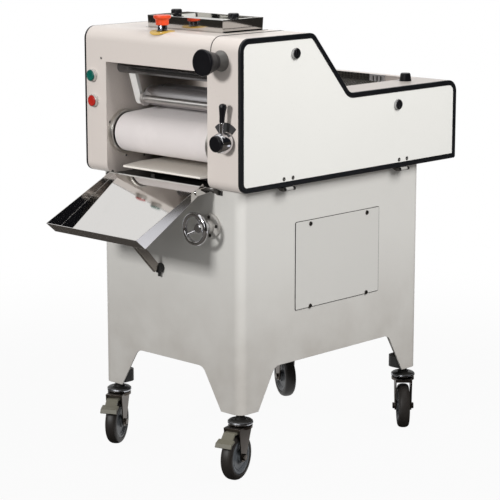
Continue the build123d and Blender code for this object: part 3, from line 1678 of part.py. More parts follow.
with BuildPart() as discharge_tray:
    with BuildSketch(tray_side(tray_left)):
        with BuildLine():
            Polyline(
                (-tray_rear_gap, tray_pivot_rise),
                (-tray_length, tray_pivot_rise),
                (-tray_length - tray_front_lean, tray_pivot_rise + tray_wall),
                (-tray_rear_gap, tray_pivot_rise + tray_rear_wall),
                close=True,
            )
        make_face()
    extrude(amount=tray_right - tray_left)
    tray_faces = discharge_tray.faces()
    top_face = tray_faces.sort_by(Axis(tray_plane.origin, tray_plane.z_dir))[-1]
    rear_face = tray_faces.sort_by(Axis(tray_plane.origin, tray_plane.y_dir))[-1]
    offset(amount=-tray_sheet, openings=[top_face, rear_face])
    for x in (tray_left - tray_ear_thickness, tray_right):
        with BuildSketch(tray_side(x)):
            add(link_face((0, 0), (-tray_rear_gap - 28.0, tray_pivot_rise + 9.0), tray_ear_radius, 8.0))
            Circle(tray_pin_radius + running_gap, mode=Mode.SUBTRACT)
        extrude(amount=tray_ear_thickness)
save(discharge_tray.part, "discharge_tray")

prop_line = radians(prop_lean)
prop_foot = (base_front - bumper_length - clear_gap - prop_width / 2 * sin(prop_line) * 0.5, prop_foot_z)
floor_point = Vector(0, front_y + tray_pivot_y, tray_pivot_z) + tray_plane.z_dir * tray_pivot_rise
prop_along = Vector(0, -cos(prop_line), sin(prop_line))
prop_start = Vector(prop_x, *prop_foot)
prop_length = (floor_point - prop_start).dot(tray_plane.z_dir) / prop_along.dot(tray_plane.z_dir)
prop_top = prop_start + prop_along * prop_length
with BuildPart() as tray_prop:
    with BuildSketch(Plane(prop_start, x_dir=(1, 0, 0), z_dir=prop_along)):
        RectangleRounded(prop_thickness, prop_width, 2.0)
    extrude(amount=prop_length + 30.0)
    with BuildSketch(Plane(prop_top, x_dir=(1, 0, 0), z_dir=tray_plane.z_dir)):
        Rectangle(200.0, 200.0)
    extrude(amount=120.0, mode=Mode.SUBTRACT)
    with BuildSketch(Plane(prop_top, x_dir=(1, 0, 0), z_dir=tray_plane.z_dir)):
        RectangleRounded(prop_pad, prop_pad, 6.0)
    extrude(amount=-2.0)
    y_rod(bumper_radius, base_front - bumper_length - clear_gap, base_front - clear_gap, prop_x, prop_foot_z)
    stem_y = base_front - bumper_length / 2 - clear_gap
    z_rod(4.0, prop_foot_z - bumper_radius - 10.0, prop_foot_z, prop_x, stem_y)
save(tray_prop.part, "tray_prop")

# Tray brackets with their pins and the fixed halves of the cover hinges
with BuildPart() as hinge_brackets:
    brackets = (
        (tray_bracket_left, tray_bracket_left, tray_left - tray_ear_thickness - 3.0),
        (
            tray_bracket_right - tray_bracket_thickness,
            tray_right + tray_ear_thickness + 3.0,
            tray_bracket_right,
        ),
    )
    pivot = (front_y + tray_pivot_y, tray_pivot_z)
    for x, pin_start, pin_end in brackets:
        with BuildSketch(Plane.YZ.offset(x)):
            add(link_face(pivot, (base_front - 6.0, tray_pivot_z - 6.0), tray_bracket_radius, 6.0))
        extrude(amount=tray_bracket_thickness)
        block(
            (x - 8.0, base_front - 3.0, tray_pivot_z - 14.0),
            (x + 8.0 + tray_bracket_thickness, base_front, tray_pivot_z - 2.0),
        )
    block(
        (opening_left + lug_edge - lug_width / 2, base_front, head_bottom),
        (opening_left + lug_edge + lug_width / 2, base_front + lug_depth, head_bottom + lug_height),
    )
    x_rod(tray_pin_radius, tray_bracket_left, tray_left + tray_sheet + 2.0, *pivot)
    x_rod(tray_pin_radius, tray_right - tray_sheet - 2.0, tray_bracket_right, *pivot)
    for spot in hinge_spots:
        lug_y = front_y + spot + hinge_knuckle / 2 + clear_gap
        lug_starts = (lug_y, front_y + spot - hinge_knuckle / 2 - clear_gap - hinge_lug)
        for start in lug_starts:
            with BuildSketch(Plane.XZ.offset(-start - hinge_lug)):
                with BuildLine():
                    Polyline(
                        (base_width / 2 + 2.0, head_bottom),
                        (cover_seat, head_bottom),
                        (cover_seat, hinge_axis_z + hinge_radius - 1.0),
                        (hinge_axis_x, hinge_axis_z + hinge_radius - 1.0),
                        (hinge_axis_x, hinge_axis_z - hinge_radius),
                        (cover_seat, hinge_axis_z - hinge_radius),
                        (base_width / 2 + 2.0, head_bottom - 3.0),
                        close=True,
                    )
                make_face()
                with Locations((hinge_axis_x, hinge_axis_z)):
                    Circle(hinge_radius)
            extrude(amount=hinge_lug)
        y_rod(hinge_pin_radius, lug_starts[1], lug_starts[0] + hinge_lug, hinge_axis_x, hinge_axis_z)
save(hinge_brackets.part, "hinge_brackets")

# Tapered knob on the rear of the right housing
with BuildPart() as deck_knob:
    turned(
        [
            (0, -12.0),
            (5.0, -12.0),
            (5.0, clear_gap),
            (deck_knob_radius, clear_gap),
            (deck_knob_radius - 3.0, deck_knob_height - 3.0),
            (deck_knob_radius - 5.0, deck_knob_height),
            (0, deck_knob_height),
        ],
        upright_plane(deck_knob_x, front_y + deck_knob_y, deck_top),
    )
save(deck_knob.part, "deck_knob")
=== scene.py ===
import json
from math import atan2, cos, hypot, pi, radians, sin

import bmesh
import bpy
from bpy.props import FloatProperty, FloatVectorProperty, IntProperty, PointerProperty
from mathutils import Matrix, Vector


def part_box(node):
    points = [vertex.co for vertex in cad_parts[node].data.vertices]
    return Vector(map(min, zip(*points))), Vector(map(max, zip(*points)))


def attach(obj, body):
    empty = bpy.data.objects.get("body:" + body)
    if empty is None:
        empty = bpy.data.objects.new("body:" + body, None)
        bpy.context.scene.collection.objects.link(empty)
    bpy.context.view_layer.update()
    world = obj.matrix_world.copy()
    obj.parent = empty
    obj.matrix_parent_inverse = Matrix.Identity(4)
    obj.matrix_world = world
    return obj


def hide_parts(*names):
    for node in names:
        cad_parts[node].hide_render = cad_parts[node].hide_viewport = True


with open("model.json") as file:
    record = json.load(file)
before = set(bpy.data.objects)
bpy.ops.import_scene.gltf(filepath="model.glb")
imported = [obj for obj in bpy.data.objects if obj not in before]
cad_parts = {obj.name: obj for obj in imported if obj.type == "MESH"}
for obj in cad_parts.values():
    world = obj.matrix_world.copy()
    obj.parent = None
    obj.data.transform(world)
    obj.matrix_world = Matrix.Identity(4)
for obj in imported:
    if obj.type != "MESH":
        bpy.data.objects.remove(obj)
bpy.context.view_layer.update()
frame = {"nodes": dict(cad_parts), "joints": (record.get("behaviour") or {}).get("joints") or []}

bl_info = {
    "name": "Dough moulder looks",
    "version": (1, 0, 0),
    "blender": (4, 5, 0),
    "location": "3D View > Sidebar > Moulder",
    "description": "Finishes and detail pieces for a dough moulder on casters",
    "category": "Object",
}

MM = 0.001
CASTERS = ("front_left", "front_right", "rear_left", "rear_right")

# Ways to look, and where looks at a node start outside the machine, in millimetres
LEFT, RIGHT = (-1, 0, 0), (1, 0, 0)
FRONT, BACK = (0, -1, 0), (0, 1, 0)
DOWN = (0, 0, -1)
SIDE_OUT, FRONT_OUT, TOP_OUT = 400, -600, 1400

# Height of the rear deck and of the low housings beside it, in metres
DECK_TOP = 0.979

# Radius in metres that makes a tip, and the distance at which points are welded
TIP, WELD = 1e-7, 1e-6

# Angles in degrees above which an edge stays sharp, by how a piece is made
FOLDED, CUT, WOVEN, MOULDED, ROUND, SMOOTH = 15.0, 30.0, 38.0, 40.0, 50.0, 60.0

# Fasteners turned in shares of their radius and height; a third entry makes a ring six-sided
FASTENER_SIDES = 24
SCREW_HEAD = ((1, 0.02), (1, 0.16), (0.9, 0.38), (0.68, 0.55), (0.46, 0.62))
SCREW_HEAD += ((0.38, 0.62, 6), (0.35, 0.56, 6), (0.34, 0.2, 6), (0, 0.17))
NUT = ((1.25, 0), (1.25, 0.12), (1.05, 0.14), (1, 0.15, 6), (1, 0.9, 6))
NUT += ((0.82, 1), (0.55, 1), (0.55, 1.25), (0.45, 1.35), (0, 1.35))

# Colours that are no user's choice
WHITE = (1, 1, 1)
BLACK = (0.008, 0.008, 0.01)
# Near black for the top of the stand under the head: painted shade
SHADE_UNDER_HEAD = (0.012, 0.011, 0.01)
# Grey for the back and the knuckles of the hinged cover: partly primer, partly painted shade
PRIMED_AND_SHADED = (0.4, 0.39, 0.37)
# Dark brown for the side plates deep inside the opening: painted shade
DEEP_SHADE = (0.15, 0.125, 0.105)
# Dusty brown for the lower stand: partly dust, partly painted shade where light falls off downwards
LOW_DUST_AND_SHADE = (0.33, 0.29, 0.25)

# Heights in metres where the stand begins to darken towards the bottom, partly dust and partly painted
# shade, and where it is darkest
DARKENING_TOP, DARKENING_FULL = 0.62, 0.12

# Lamps: name of the power setting, place, size, and whether mirrors show it
LAMPS = (
    ("key", (0.17, -4.2, 2.12), 0.6, True),
    ("fill", (1.9, -3.6, 1.5), 0.9, True),
    ("side", (3.2, 0.2, 3.0), 2.2, False),
    ("top", (0.3, 0.3, 4.2), 3.0, True),
    ("back", (-3.4, 2.6, 2.4), 2.2, False),
)
LAMP_TARGET = (0.0, 0.0, 0.7)
CAMERA_SPOT = (3.5657, -3.6853, 1.5687)


def colour_setting(name, description, default):
    """A colour that a user may change."""
    return FloatVectorProperty(
        name=name, description=description, subtype="COLOR", size=3, min=0.0, max=1.0, default=default
    )


def length_setting(name, description, default):
    """A length in metres that a user may change."""
    return FloatProperty(
        name=name, description=description, unit="LENGTH", subtype="DISTANCE", min=0.0, default=default
    )


def power_setting(name, description, default):
    """A lamp's power in watts that a user may change."""
    return FloatProperty(
        name=name, description=description, unit="POWER", subtype="POWER", min=0.0, default=default
    )


def angle_setting(name, description, default):
    """An angle that a user may change, given in degrees."""
    return FloatProperty(
        name=name, description=description, unit="ROTATION", subtype="ANGLE", default=radians(default)
    )


class MoulderColours(bpy.types.PropertyGroup):
    """Colours of the painted, moulded and woven surfaces."""

    head: colour_setting("Head", "Warm grey paint of the head casing", (0.76, 0.69, 0.64))
    cover: colour_setting("Cover", "Ivory paint of the side covers", (0.86, 0.85, 0.81))
    stand: colour_setting("Stand", "Grey paint of the stand", (0.7, 0.685, 0.65))
    belt: colour_setting("Belt", "Undyed cloth of the belt", (0.8, 0.745, 0.73))
    board: colour_setting("Board", "Cream plastic of the pressing board", (0.9, 0.86, 0.79))
    stop: colour_setting("Stop", "Orange red of the emergency stop", (0.78, 0.075, 0.02))
    start: colour_setting("Start", "Green of the start button", (0.0, 0.12, 0.09))
    halt: colour_setting("Halt", "Red of the stop button", (0.52, 0.02, 0.012))
    disc: colour_setting("Disc", "Yellow of the disc under the emergency stop", (0.62, 0.4, 0.07))
    pedal: colour_setting("Pedal", "Olive paint of the brake pedals", (0.135, 0.127, 0.097))
    tyre: colour_setting("Tyre", "Brown grey rubber of the tyres", (0.021, 0.018, 0.016))
    hub: colour_setting("Hub", "Blue grey plastic of the caster hubs", (0.09, 0.098, 0.108))


class MoulderMesh(bpy.types.PropertyGroup):
    """Sizes of the woven chain mesh on the belt."""

    rows: IntProperty(name="Rows", description="Spiral wires from front to rear", min=4, default=46)
    turns: IntProperty(name="Turns", description="Turns of each spiral wire", min=4, default=30)
    wire: length_setting("Wire", "Thickness of the spiral wire", 0.0017)
    height: length_setting("Height", "Height of a flattened spiral", 0.0042)


class MoulderStage(bpy.types.PropertyGroup):
    """Camera and lamps of the stage."""

    azimuth: angle_setting("Azimuth", "How far the camera stands round to the right of the front", 43.882)
    pitch: angle_setting("Pitch", "How far the camera looks down", 11.414)
    lens: FloatProperty(
        name="Lens", description="Focal length in millimetres", unit="CAMERA", min=1.0, default=137.75
    )
    key: power_setting("Key", "Small soft lamp straight in front", 103.0)
    fill: power_setting("Fill", "Weak lamp in front on the right", 6.0)
    side: power_setting("Side", "Large soft lamp on the upper right", 131.0)
    top: power_setting("Top", "Large soft lamp overhead", 16.0)
    back: power_setting("Back", "Large soft lamp behind on the left", 62.0)
    sky: FloatProperty(
        name="Sky", description="Strength of the even light all round", min=0.0, default=0.25
    )


class MoulderSettings(bpy.types.PropertyGroup):
    """Everything that the sidebar shows."""

    colours: PointerProperty(type=MoulderColours)
    mesh: PointerProperty(type=MoulderMesh)
    stage: PointerProperty(type=MoulderStage)


class Field:
    """A node's output, so that shader maths reads as a Python expression."""

    def __init__(self, finish, socket):
        self.finish = finish
        self.socket = socket

    def math(self, operation, first, second):
        return self.finish.node("ShaderNodeMath", {"operation": operation}, {0: first, 1: second})

    def __add__(self, other):
        return self.math("ADD", self, other)

    __radd__ = __add__

    def __sub__(self, other):
        return self.math("SUBTRACT", self, other)

    def __rsub__(self, other):
        return self.math("SUBTRACT", other, self)

    def __mul__(self, other):
        return self.math("MULTIPLY", self, other)

    __rmul__ = __mul__


class Finish:
    """A node tree, with one method that adds any node and short names for the usual ones."""

    def __init__(self, tree):
        self.tree = tree

    def node(self, kind, settings=None, sockets=None, output=0):
        """Adds a node, sets it up, fills its sockets with values or links and returns one output."""
        made = self.tree.nodes.new(kind)
        for key, value in (settings or {}).items():
            setattr(made, key, value)
        for key, value in (sockets or {}).items():
            self.fill(made.inputs[key], value)
        return Field(self, made.outputs[output])

    def fill(self, socket, value):
        if isinstance(value, Field):
            self.tree.links.new(value.socket, socket)
        elif socket.type == "RGBA":
            socket.default_value = (*value, 1.0)
        else:
            socket.default_value = value

    def place(self, stretch=(1, 1, 1)):
        """The point on the object at rest in metres, stretched along its axes for grain."""
        point = self.node("ShaderNodeTexCoord", output="Object")
        if stretch == (1, 1, 1):
            return point
        return self.node("ShaderNodeMapping", None, {"Vector": point, "Scale": stretch})

    def noise(self, place, scale, detail=2.0, distortion=0.0):
        sockets = {"Vector": place, "Scale": scale, "Detail": detail, "Distortion": distortion}
        return self.node("ShaderNodeTexNoise", None, sockets)

    def bands(self, place, along, spacing):
        """Waves from 0 to 1 along one axis, a spacing apart."""
        settings = {"wave_type": "BANDS", "bands_direction": along}
        sockets = {"Vector": place, "Scale": pi / 10 / spacing}
        return self.node("ShaderNodeTexWave", settings, sockets, "Fac")

    def mix(self, first, second, share):
        """A colour between two others."""
        return self.node("ShaderNodeMix", {"data_type": "RGBA"}, {0: share, 6: first, 7: second}, 2)

    def tones(self, colour, dark, light, share):
        """A colour that drifts from a darker to a lighter shade of itself."""
        return self.mix(shade(colour, dark), shade(colour, light), share)

    def between(self, value, low, high):
        """0 where the value is at low and 1 where it is at high."""
        sockets = {"Value": value, "From Min": low, "From Max": high}
        return self.node("ShaderNodeMapRange", {"interpolation_type": "SMOOTHSTEP"}, sockets)

    def axis(self, name):
        """One coordinate of the point on the object at rest."""
        return self.node("ShaderNodeSeparateXYZ", None, {"Vector": self.place()}, name)

    def reach(self, centre, spread=(1, 1, 1)):
        """How far the point on the object at rest is from a centre, along the axes that spread keeps."""
        offset = self.node("ShaderNodeVectorMath", {"operation": "SUBTRACT"}, {0: self.place(), 1: centre})
        kept = self.node("ShaderNodeVectorMath", {"operation": "MULTIPLY"}, {0: offset, 1: spread})
        return self.node("ShaderNodeVectorMath", {"operation": "LENGTH"}, {0: kept}, "Value")

    def round_edge(self, radius):
        """The surface direction with sharp edges softened."""
        return self.node("ShaderNodeBevel", {"samples": 6}, {"Radius": radius})

    def bump(self, height, strength, depth, normal=None):
        sockets = {"Height": height, "Strength": strength, "Distance": depth}
        if normal:
            sockets["Normal"] = normal
        return self.node("ShaderNodeBump", None, sockets)

    def sharp_edge_share(self, radius):
        """How much a point lies on a sharp edge."""
        facing = self.node("ShaderNodeNewGeometry", output="Normal")
        pair = {0: self.round_edge(radius), 1: facing}
        level = self.node("ShaderNodeVectorMath", {"operation": "DOT_PRODUCT"}, pair, "Value")
        return self.between(level, 0.995, 0.86)


class Surface(Finish):
    """A material with one main shader."""

    def __init__(self, name, uniform=None):
        self.material = bpy.data.materials.new(name)
        self.material.use_nodes = True
        super().__init__(self.material.node_tree)
        self.shader = self.tree.nodes["Principled BSDF"]
        for key, value in (uniform or {}).items():
            self.fill(self.shader.inputs[key], value)

    def feed(self, **sockets):
        """Links fields to the main shader: colour, roughness, metallic, normal."""
        names = {
            "colour": "Base Color",
            "roughness": "Roughness",
            "metallic": "Metallic",
            "normal": "Normal",
        }
        for key, value in sockets.items():
            self.fill(self.shader.inputs[names[key]], value)
        return self.material


def shade(colour, share):
    """A colour made lighter or darker."""
    return tuple(min(1.0, channel * share) for channel in colour)


def paint(name, colour, roughness=0.36, dust_and_shade=0.0, other=None, share_of=None):
    """Baked paint on sheet steel: tone drifts a little, the skin has orange peel, edges are soft and
    painted a little lighter as a painted highlight.

    A share of dusty brown darkens the lower part, partly dust and partly painted shade. The other colour
    holds where share_of gives 1.
    """
    surface = Surface(name, {"Specular IOR Level": 0.42})
    place = surface.place()
    drift = surface.noise(place, scale=2.4, detail=3.0)
    speck = surface.noise(place, scale=190.0, detail=2.0)
    peel = surface.noise(place, scale=760.0, detail=1.0)
    tone = surface.tones(colour, 0.965, 1.03, drift)
    tone = surface.mix(tone, shade(colour, 0.84), 0.3 * surface.between(speck, 0.66, 0.76))
    # Painted highlight: sharp edges are painted a little lighter
    tone = surface.mix(tone, shade(colour, 1.12), 0.5 * surface.sharp_edge_share(1.2 * MM))
    # Dust and painted shade: the lower part darkens towards a dusty brown
    if dust_and_shade:
        patchy = surface.noise(place, scale=9.0, detail=4.0)
        low = surface.between(surface.axis("Z"), DARKENING_TOP, DARKENING_FULL) * patchy
        tone = surface.mix(tone, LOW_DUST_AND_SHADE, dust_and_shade * low)
    if share_of:
        tone = surface.mix(tone, other, share_of(surface))
    return surface.feed(
        colour=tone,
        roughness=roughness - 0.06 + 0.1 * drift + 0.04 * speck,
        normal=surface.bump(peel, strength=0.14, depth=0.4 * MM, normal=surface.round_edge(1.4 * MM)),
    )


def steel(name, colour, roughness, grain=(1, 1, 1), relief=0.12, smudge=0.08):
    """Bare or plated metal: fine grain along one direction, faint smudges, soft edges."""
    surface = Surface(name, {"Metallic": 1.0})
    lines = surface.noise(surface.place(grain), scale=260.0, detail=3.0)
    cloudy = surface.noise(surface.place(), scale=11.0, detail=4.0, distortion=0.6)
    tone = surface.tones(colour, 0.88, 1.06, lines)
    tone = surface.mix(tone, shade(colour, 0.8), 0.25 * surface.between(cloudy, 0.55, 0.8))
    return surface.feed(
        colour=tone,
        roughness=roughness - 0.02 + smudge * cloudy + 0.6 * roughness * (lines - 0.5),
        normal=surface.bump(lines, relief, 0.2 * MM, normal=surface.round_edge(0.8 * MM)),
    )


def plastic(name, colour, roughness, grain=420.0, relief=0.1, gloss=0.5):
    """Moulded plastic: fine grained skin, handled patches a little glossier."""
    surface = Surface(name, {"Specular IOR Level": gloss})
    place = surface.place()
    skin = surface.noise(place, grain, 2.0)
    handled = surface.noise(place, scale=24.0, detail=3.0)
    return surface.feed(
        colour=surface.tones(colour, 0.9, 1.08, skin),
        roughness=roughness - 0.08 + 0.16 * handled,
        normal=surface.bump(skin, relief, 0.3 * MM, normal=surface.round_edge(0.7 * MM)),
    )


def rubber(name, colour, roughness=0.55):
    """Soft black profile: dull, with a bloom in patches."""
    surface = Surface(name, {"Specular IOR Level": 0.4})
    place = surface.place()
    grit = surface.noise(place, scale=520.0, detail=2.0)
    bloom = surface.noise(place, scale=14.0, detail=4.0)
    tone = surface.mix(colour, shade(colour, 1.7), bloom)
    return surface.feed(
        colour=surface.mix(tone, shade(colour, 0.7), grit),
        roughness=roughness - 0.1 + 0.2 * bloom,
        normal=surface.bump(grit, strength=0.25, depth=0.3 * MM),
    )


def cast(name, colour, roughness=0.6):
    """Cast or sintered metal, oiled in patches."""
    surface = Surface(name, {"Metallic": 0.85})
    place = surface.place()
    grit = surface.noise(place, scale=330.0, detail=4.0)
    oily = surface.noise(place, scale=30.0, detail=3.0)
    return surface.feed(
        colour=surface.tones(colour, 0.7, 1.25, grit),
        roughness=roughness - 0.35 * surface.between(oily, 0.5, 0.7) + 0.1 * grit,
        normal=surface.bump(grit, strength=0.3, depth=0.4 * MM, normal=surface.round_edge(0.6 * MM)),
    )


def cloth(name, colour):
    """Woven belt cloth: crossing threads, a felted nap, flour in the weave."""
    surface = Surface(name, {"Sheen Weight": 0.25, "Specular IOR Level": 0.2})
    place = surface.place()
    warp = surface.bands(place, "X", 1.6 * MM)
    weft = surface.bands(place, "DIAGONAL", 2.8 * MM)
    nap = surface.noise(place, scale=620.0, detail=3.0)
    patch = surface.noise(place, scale=7.0, detail=4.0)
    weave = warp * weft
    tone = surface.tones(colour, 0.93, 1.05, 0.5 * weave + 0.5 * nap)
    tone = surface.mix(tone, shade(colour, 1.12), 0.5 * surface.between(patch, 0.5, 0.75))
    return surface.feed(
        colour=tone,
        roughness=0.82 + 0.1 * nap,
        normal=surface.bump(0.6 * weave + 0.4 * nap, strength=0.35, depth=0.4 * MM),
    )


def two_tone(name, base, other, share_of, roughness, metallic):
    """Two finishes on one piece, parted by a place on it: share_of gives 1 where the second holds.

    Roughness and metallic are pairs, for the first and the second finish.
    """
    surface = Surface(name)
    share = share_of(surface)
    grain = surface.noise(surface.place(), scale=330.0, detail=2.0)
    first = surface.tones(base, 0.92, 1.06, grain)
    second = surface.tones(other, 0.9, 1.1, grain)
    return surface.feed(
        colour=surface.mix(first, second, share),
        roughness=roughness[0] + (roughness[1] - roughness[0]) * share + 0.06 * (grain - 0.5),
        metallic=metallic[0] + (metallic[1] - metallic[0]) * share,
        normal=surface.bump(grain, strength=0.1, depth=0.3 * MM, normal=surface.round_edge(0.7 * MM)),
    )


def zone(axis, off, on):
    """A share for finishes: 0 where one coordinate is at off, and 1 where it is at on."""
    return lambda surface: surface.between(surface.axis(axis), off, on)


def near(centre, spread, off, on):
    """A share for finishes: 0 at one distance from a centre, and 1 at another."""
    return lambda surface: surface.between(surface.reach(centre, spread), off, on)


def dress(surface, *nodes):
    """Gives CAD nodes their finish."""
    for node in nodes:
        if node not in frame["nodes"]:
            raise RuntimeError(f"the frame has no node named {node}")
        materials = frame["nodes"][node].data.materials
        materials.clear()
        materials.append(surface)


def at(*point):
    """A place given in millimetres, in metres."""
    return Vector(point) * MM


def joint(name):
    """Where a joint is and the way its axis points."""
    for entry in frame["joints"]:
        if entry["name"] == name:
            return Vector(entry["pos_m"]), Vector(entry["axis"]).normalized()
    raise RuntimeError(f"the frame has no joint named {name}")


def facing(point, direction):
    """A placement at a point whose Z runs along a direction."""
    return Matrix.Translation(point) @ Vector(direction).to_track_quat("Z", "Y").to_matrix().to_4x4()


def seat(node, start, direction):
    """A placement on a node's skin, found by looking from a start along a direction."""
    way = Vector(direction)
    hit, point, _, _ = frame["nodes"][node].ray_cast(at(*start), way)
    if not hit:
        raise RuntimeError(f"nothing of {node} lies beyond {start}")
    return facing(point, -way)


def all_round(count):
    """Evenly spaced angles of a full turn."""
    return [2 * pi * step / count for step in range(count)]


def closed(points):
    """Each point with the next one, and the last with the first."""
    return list(zip(points, points[1:] + points[:1]))


def both_sides(half):
    """A line of (radius, height) points and its mirror image below."""
    return [*half, *((radius, -height) for radius, height in reversed(half))]


def rounded(points, radius, steps=3, most=0.45):
    """A line of points with its corners rounded off, each over at most a share of its sides."""
    line = [Vector(point) for point in points]
    out = [line[0]]
    for before, corner, after in zip(line, line[1:], line[2:]):
        back, on = before - corner, after - corner
        reach = min(radius, most * back.length, most * on.length)
        start, end = corner + back.normalized() * reach, corner + on.normalized() * reach
        for step in range(steps + 1):
            share = step / steps
            out.append(start.lerp(corner, share).lerp(corner.lerp(end, share), share))
    out.append(line[-1])
    return out


def hexagon(radius, angle):
    """How far a hexagon's edge is from its middle at an angle."""
    return radius * cos(pi / 6) / cos((angle % (pi / 3)) - pi / 6)


def wrap(start, end, start_radius, end_radius, spacing, fewest=8):
    """Points along a loop round two circles in the YZ plane; each arc takes at least fewest steps."""
    gap = end - start
    line = atan2(gap.z, gap.y)
    spread = hypot(gap.y, gap.z)
    lean = atan2(end_radius - start_radius, (spread**2 - (end_radius - start_radius) ** 2) ** 0.5)
    arcs = (
        (start, start_radius, line + lean + pi / 2, line - lean + 3 * pi / 2),
        (end, end_radius, line - lean - pi / 2, line + lean + pi / 2),
    )
    corners = []
    for centre, radius, first, last in arcs:
        steps = max(fewest, round(radius * (last - first) / spacing))
        for step in range(steps + 1):
            angle = first + (last - first) * step / steps
            corners.append(centre + Vector((0, radius * cos(angle), radius * sin(angle))))
    out = []
    for here, there in closed(corners):
        steps = max(1, round((there - here).length / spacing))
        out += [here.lerp(there, step / steps) for step in range(steps)]
    return out


class Shape:
    """A mesh in the making, put together from rings of points."""

    def __init__(self):
        self.mesh = bmesh.new()

    def ring(self, points):
        """One corner for each point."""
        return [self.mesh.verts.new(point) for point in points]

    def skin(self, rings, loop=False):
        """Joins rings with faces; a ring of one point is a tip."""
        pairs = list(zip(rings, rings[1:]))
        if loop:
            pairs.append((rings[-1], rings[0]))
        for low, high in pairs:
            count = max(len(low), len(high))
            for one in range(count):
                two = (one + 1) % count
                corners = [low[one % len(low)], low[two % len(low)]]
                corners += [high[two % len(high)], high[one % len(high)]]
                self.mesh.faces.new(dict.fromkeys(corners))

    def turn(self, profile, place, segments):
        """Turns a line of (radius, height) points about the Z of a placement.

        A third entry makes that point's ring six-sided.
        """
        rings = []
        for radius, height, *six in profile:
            if radius < TIP:
                rings.append(self.ring([place @ Vector((0, 0, height))]))
                continue
            points = []
            for angle in all_round(segments):
                reach = hexagon(radius, angle) if six else radius
                points.append(place @ Vector((reach * cos(angle), reach * sin(angle), height)))
            rings.append(self.ring(points))
        self.skin(rings)

    def tube(self, points, radius, sides, loop=False):
        """A round wire along a line of points."""
        rings = []
        angles = all_round(sides)
        count = len(points)
        side = None
        for index, point in enumerate(points):
            before = points[index - 1] if loop or index else point
            after = points[(index + 1) % count] if loop or index < count - 1 else point
            way = (after - before).normalized()
            side = (side - side.dot(way) * way).normalized() if side else way.orthogonal().normalized()
            across = way.cross(side)
            rings.append(self.ring([point + radius * (cos(a) * side + sin(a) * across) for a in angles]))
        self.skin(rings, loop)
        if not loop:
            self.cap(rings)

    def cap(self, rings):
        """Closes the first and the last ring with a face."""
        self.mesh.faces.new(rings[0][::-1])
        self.mesh.faces.new(rings[-1])

    def fastener(self, profile, place, radius, height, skirt=()):
        """Turns a profile given in shares of a radius and a height, after an optional skirt below it."""
        scaled = [(share * radius, lift * height, *six) for share, lift, *six in profile]
        self.turn([*skirt, *scaled], place, FASTENER_SIDES)

    def thing(self, name, surface):
        """Ends the mesh: an object of the scene with its finish."""
        bmesh.ops.recalc_face_normals(self.mesh, faces=self.mesh.faces)
        data = bpy.data.meshes.new(name)
        self.mesh.to_mesh(data)
        self.mesh.free()
        data.materials.append(surface)
        made = bpy.data.objects.new(name, data)
        bpy.context.scene.collection.objects.link(made)
        return made

    def piece(self, name, surface, body, slot, sharp):
        """Ends the mesh: a named piece that rides on a body, with edges above an angle left sharp."""
        made = self.thing(name, surface)
        made.data.shade_smooth()
        made.data.set_sharp_from_angle(angle=radians(sharp))
        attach(made, body)
        return made


def screws(name, surface, body, places, radius):
    """One piece with a screw head at each placement; the radius is in millimetres."""
    shape = Shape()
    size = radius * MM
    for place in places:
        shape.fastener(SCREW_HEAD, place, size, size, [(0.9 * size, -0.3 * MM)])
    shape.piece(name, surface, body, "bright_steel", CUT)


def bead(name, surface, points, radius, loop=False):
    """A rubber bead along a line of points; the radius is in millimetres."""
    shape = Shape()
    shape.tube(points, radius * MM, 8, loop)
    shape.piece(name, surface, "frame", "black_rubber", SMOOTH)


def turned(name, surface, body, slot, place, *profiles, segments=48, sharp=MOULDED):
    """A piece turned about the Z of a placement from lines of (radius, height) points in millimetres."""
    shape = Shape()
    for profile in profiles:
        shape.turn([Vector(point) * MM for point in profile], place, segments)
    bmesh.ops.remove_doubles(shape.mesh, verts=shape.mesh.verts, dist=WELD)
    return shape.piece(name, surface, body, slot, sharp)


class MoulderStep:
    """What the operators share."""

    bl_options = {"REGISTER", "UNDO"}


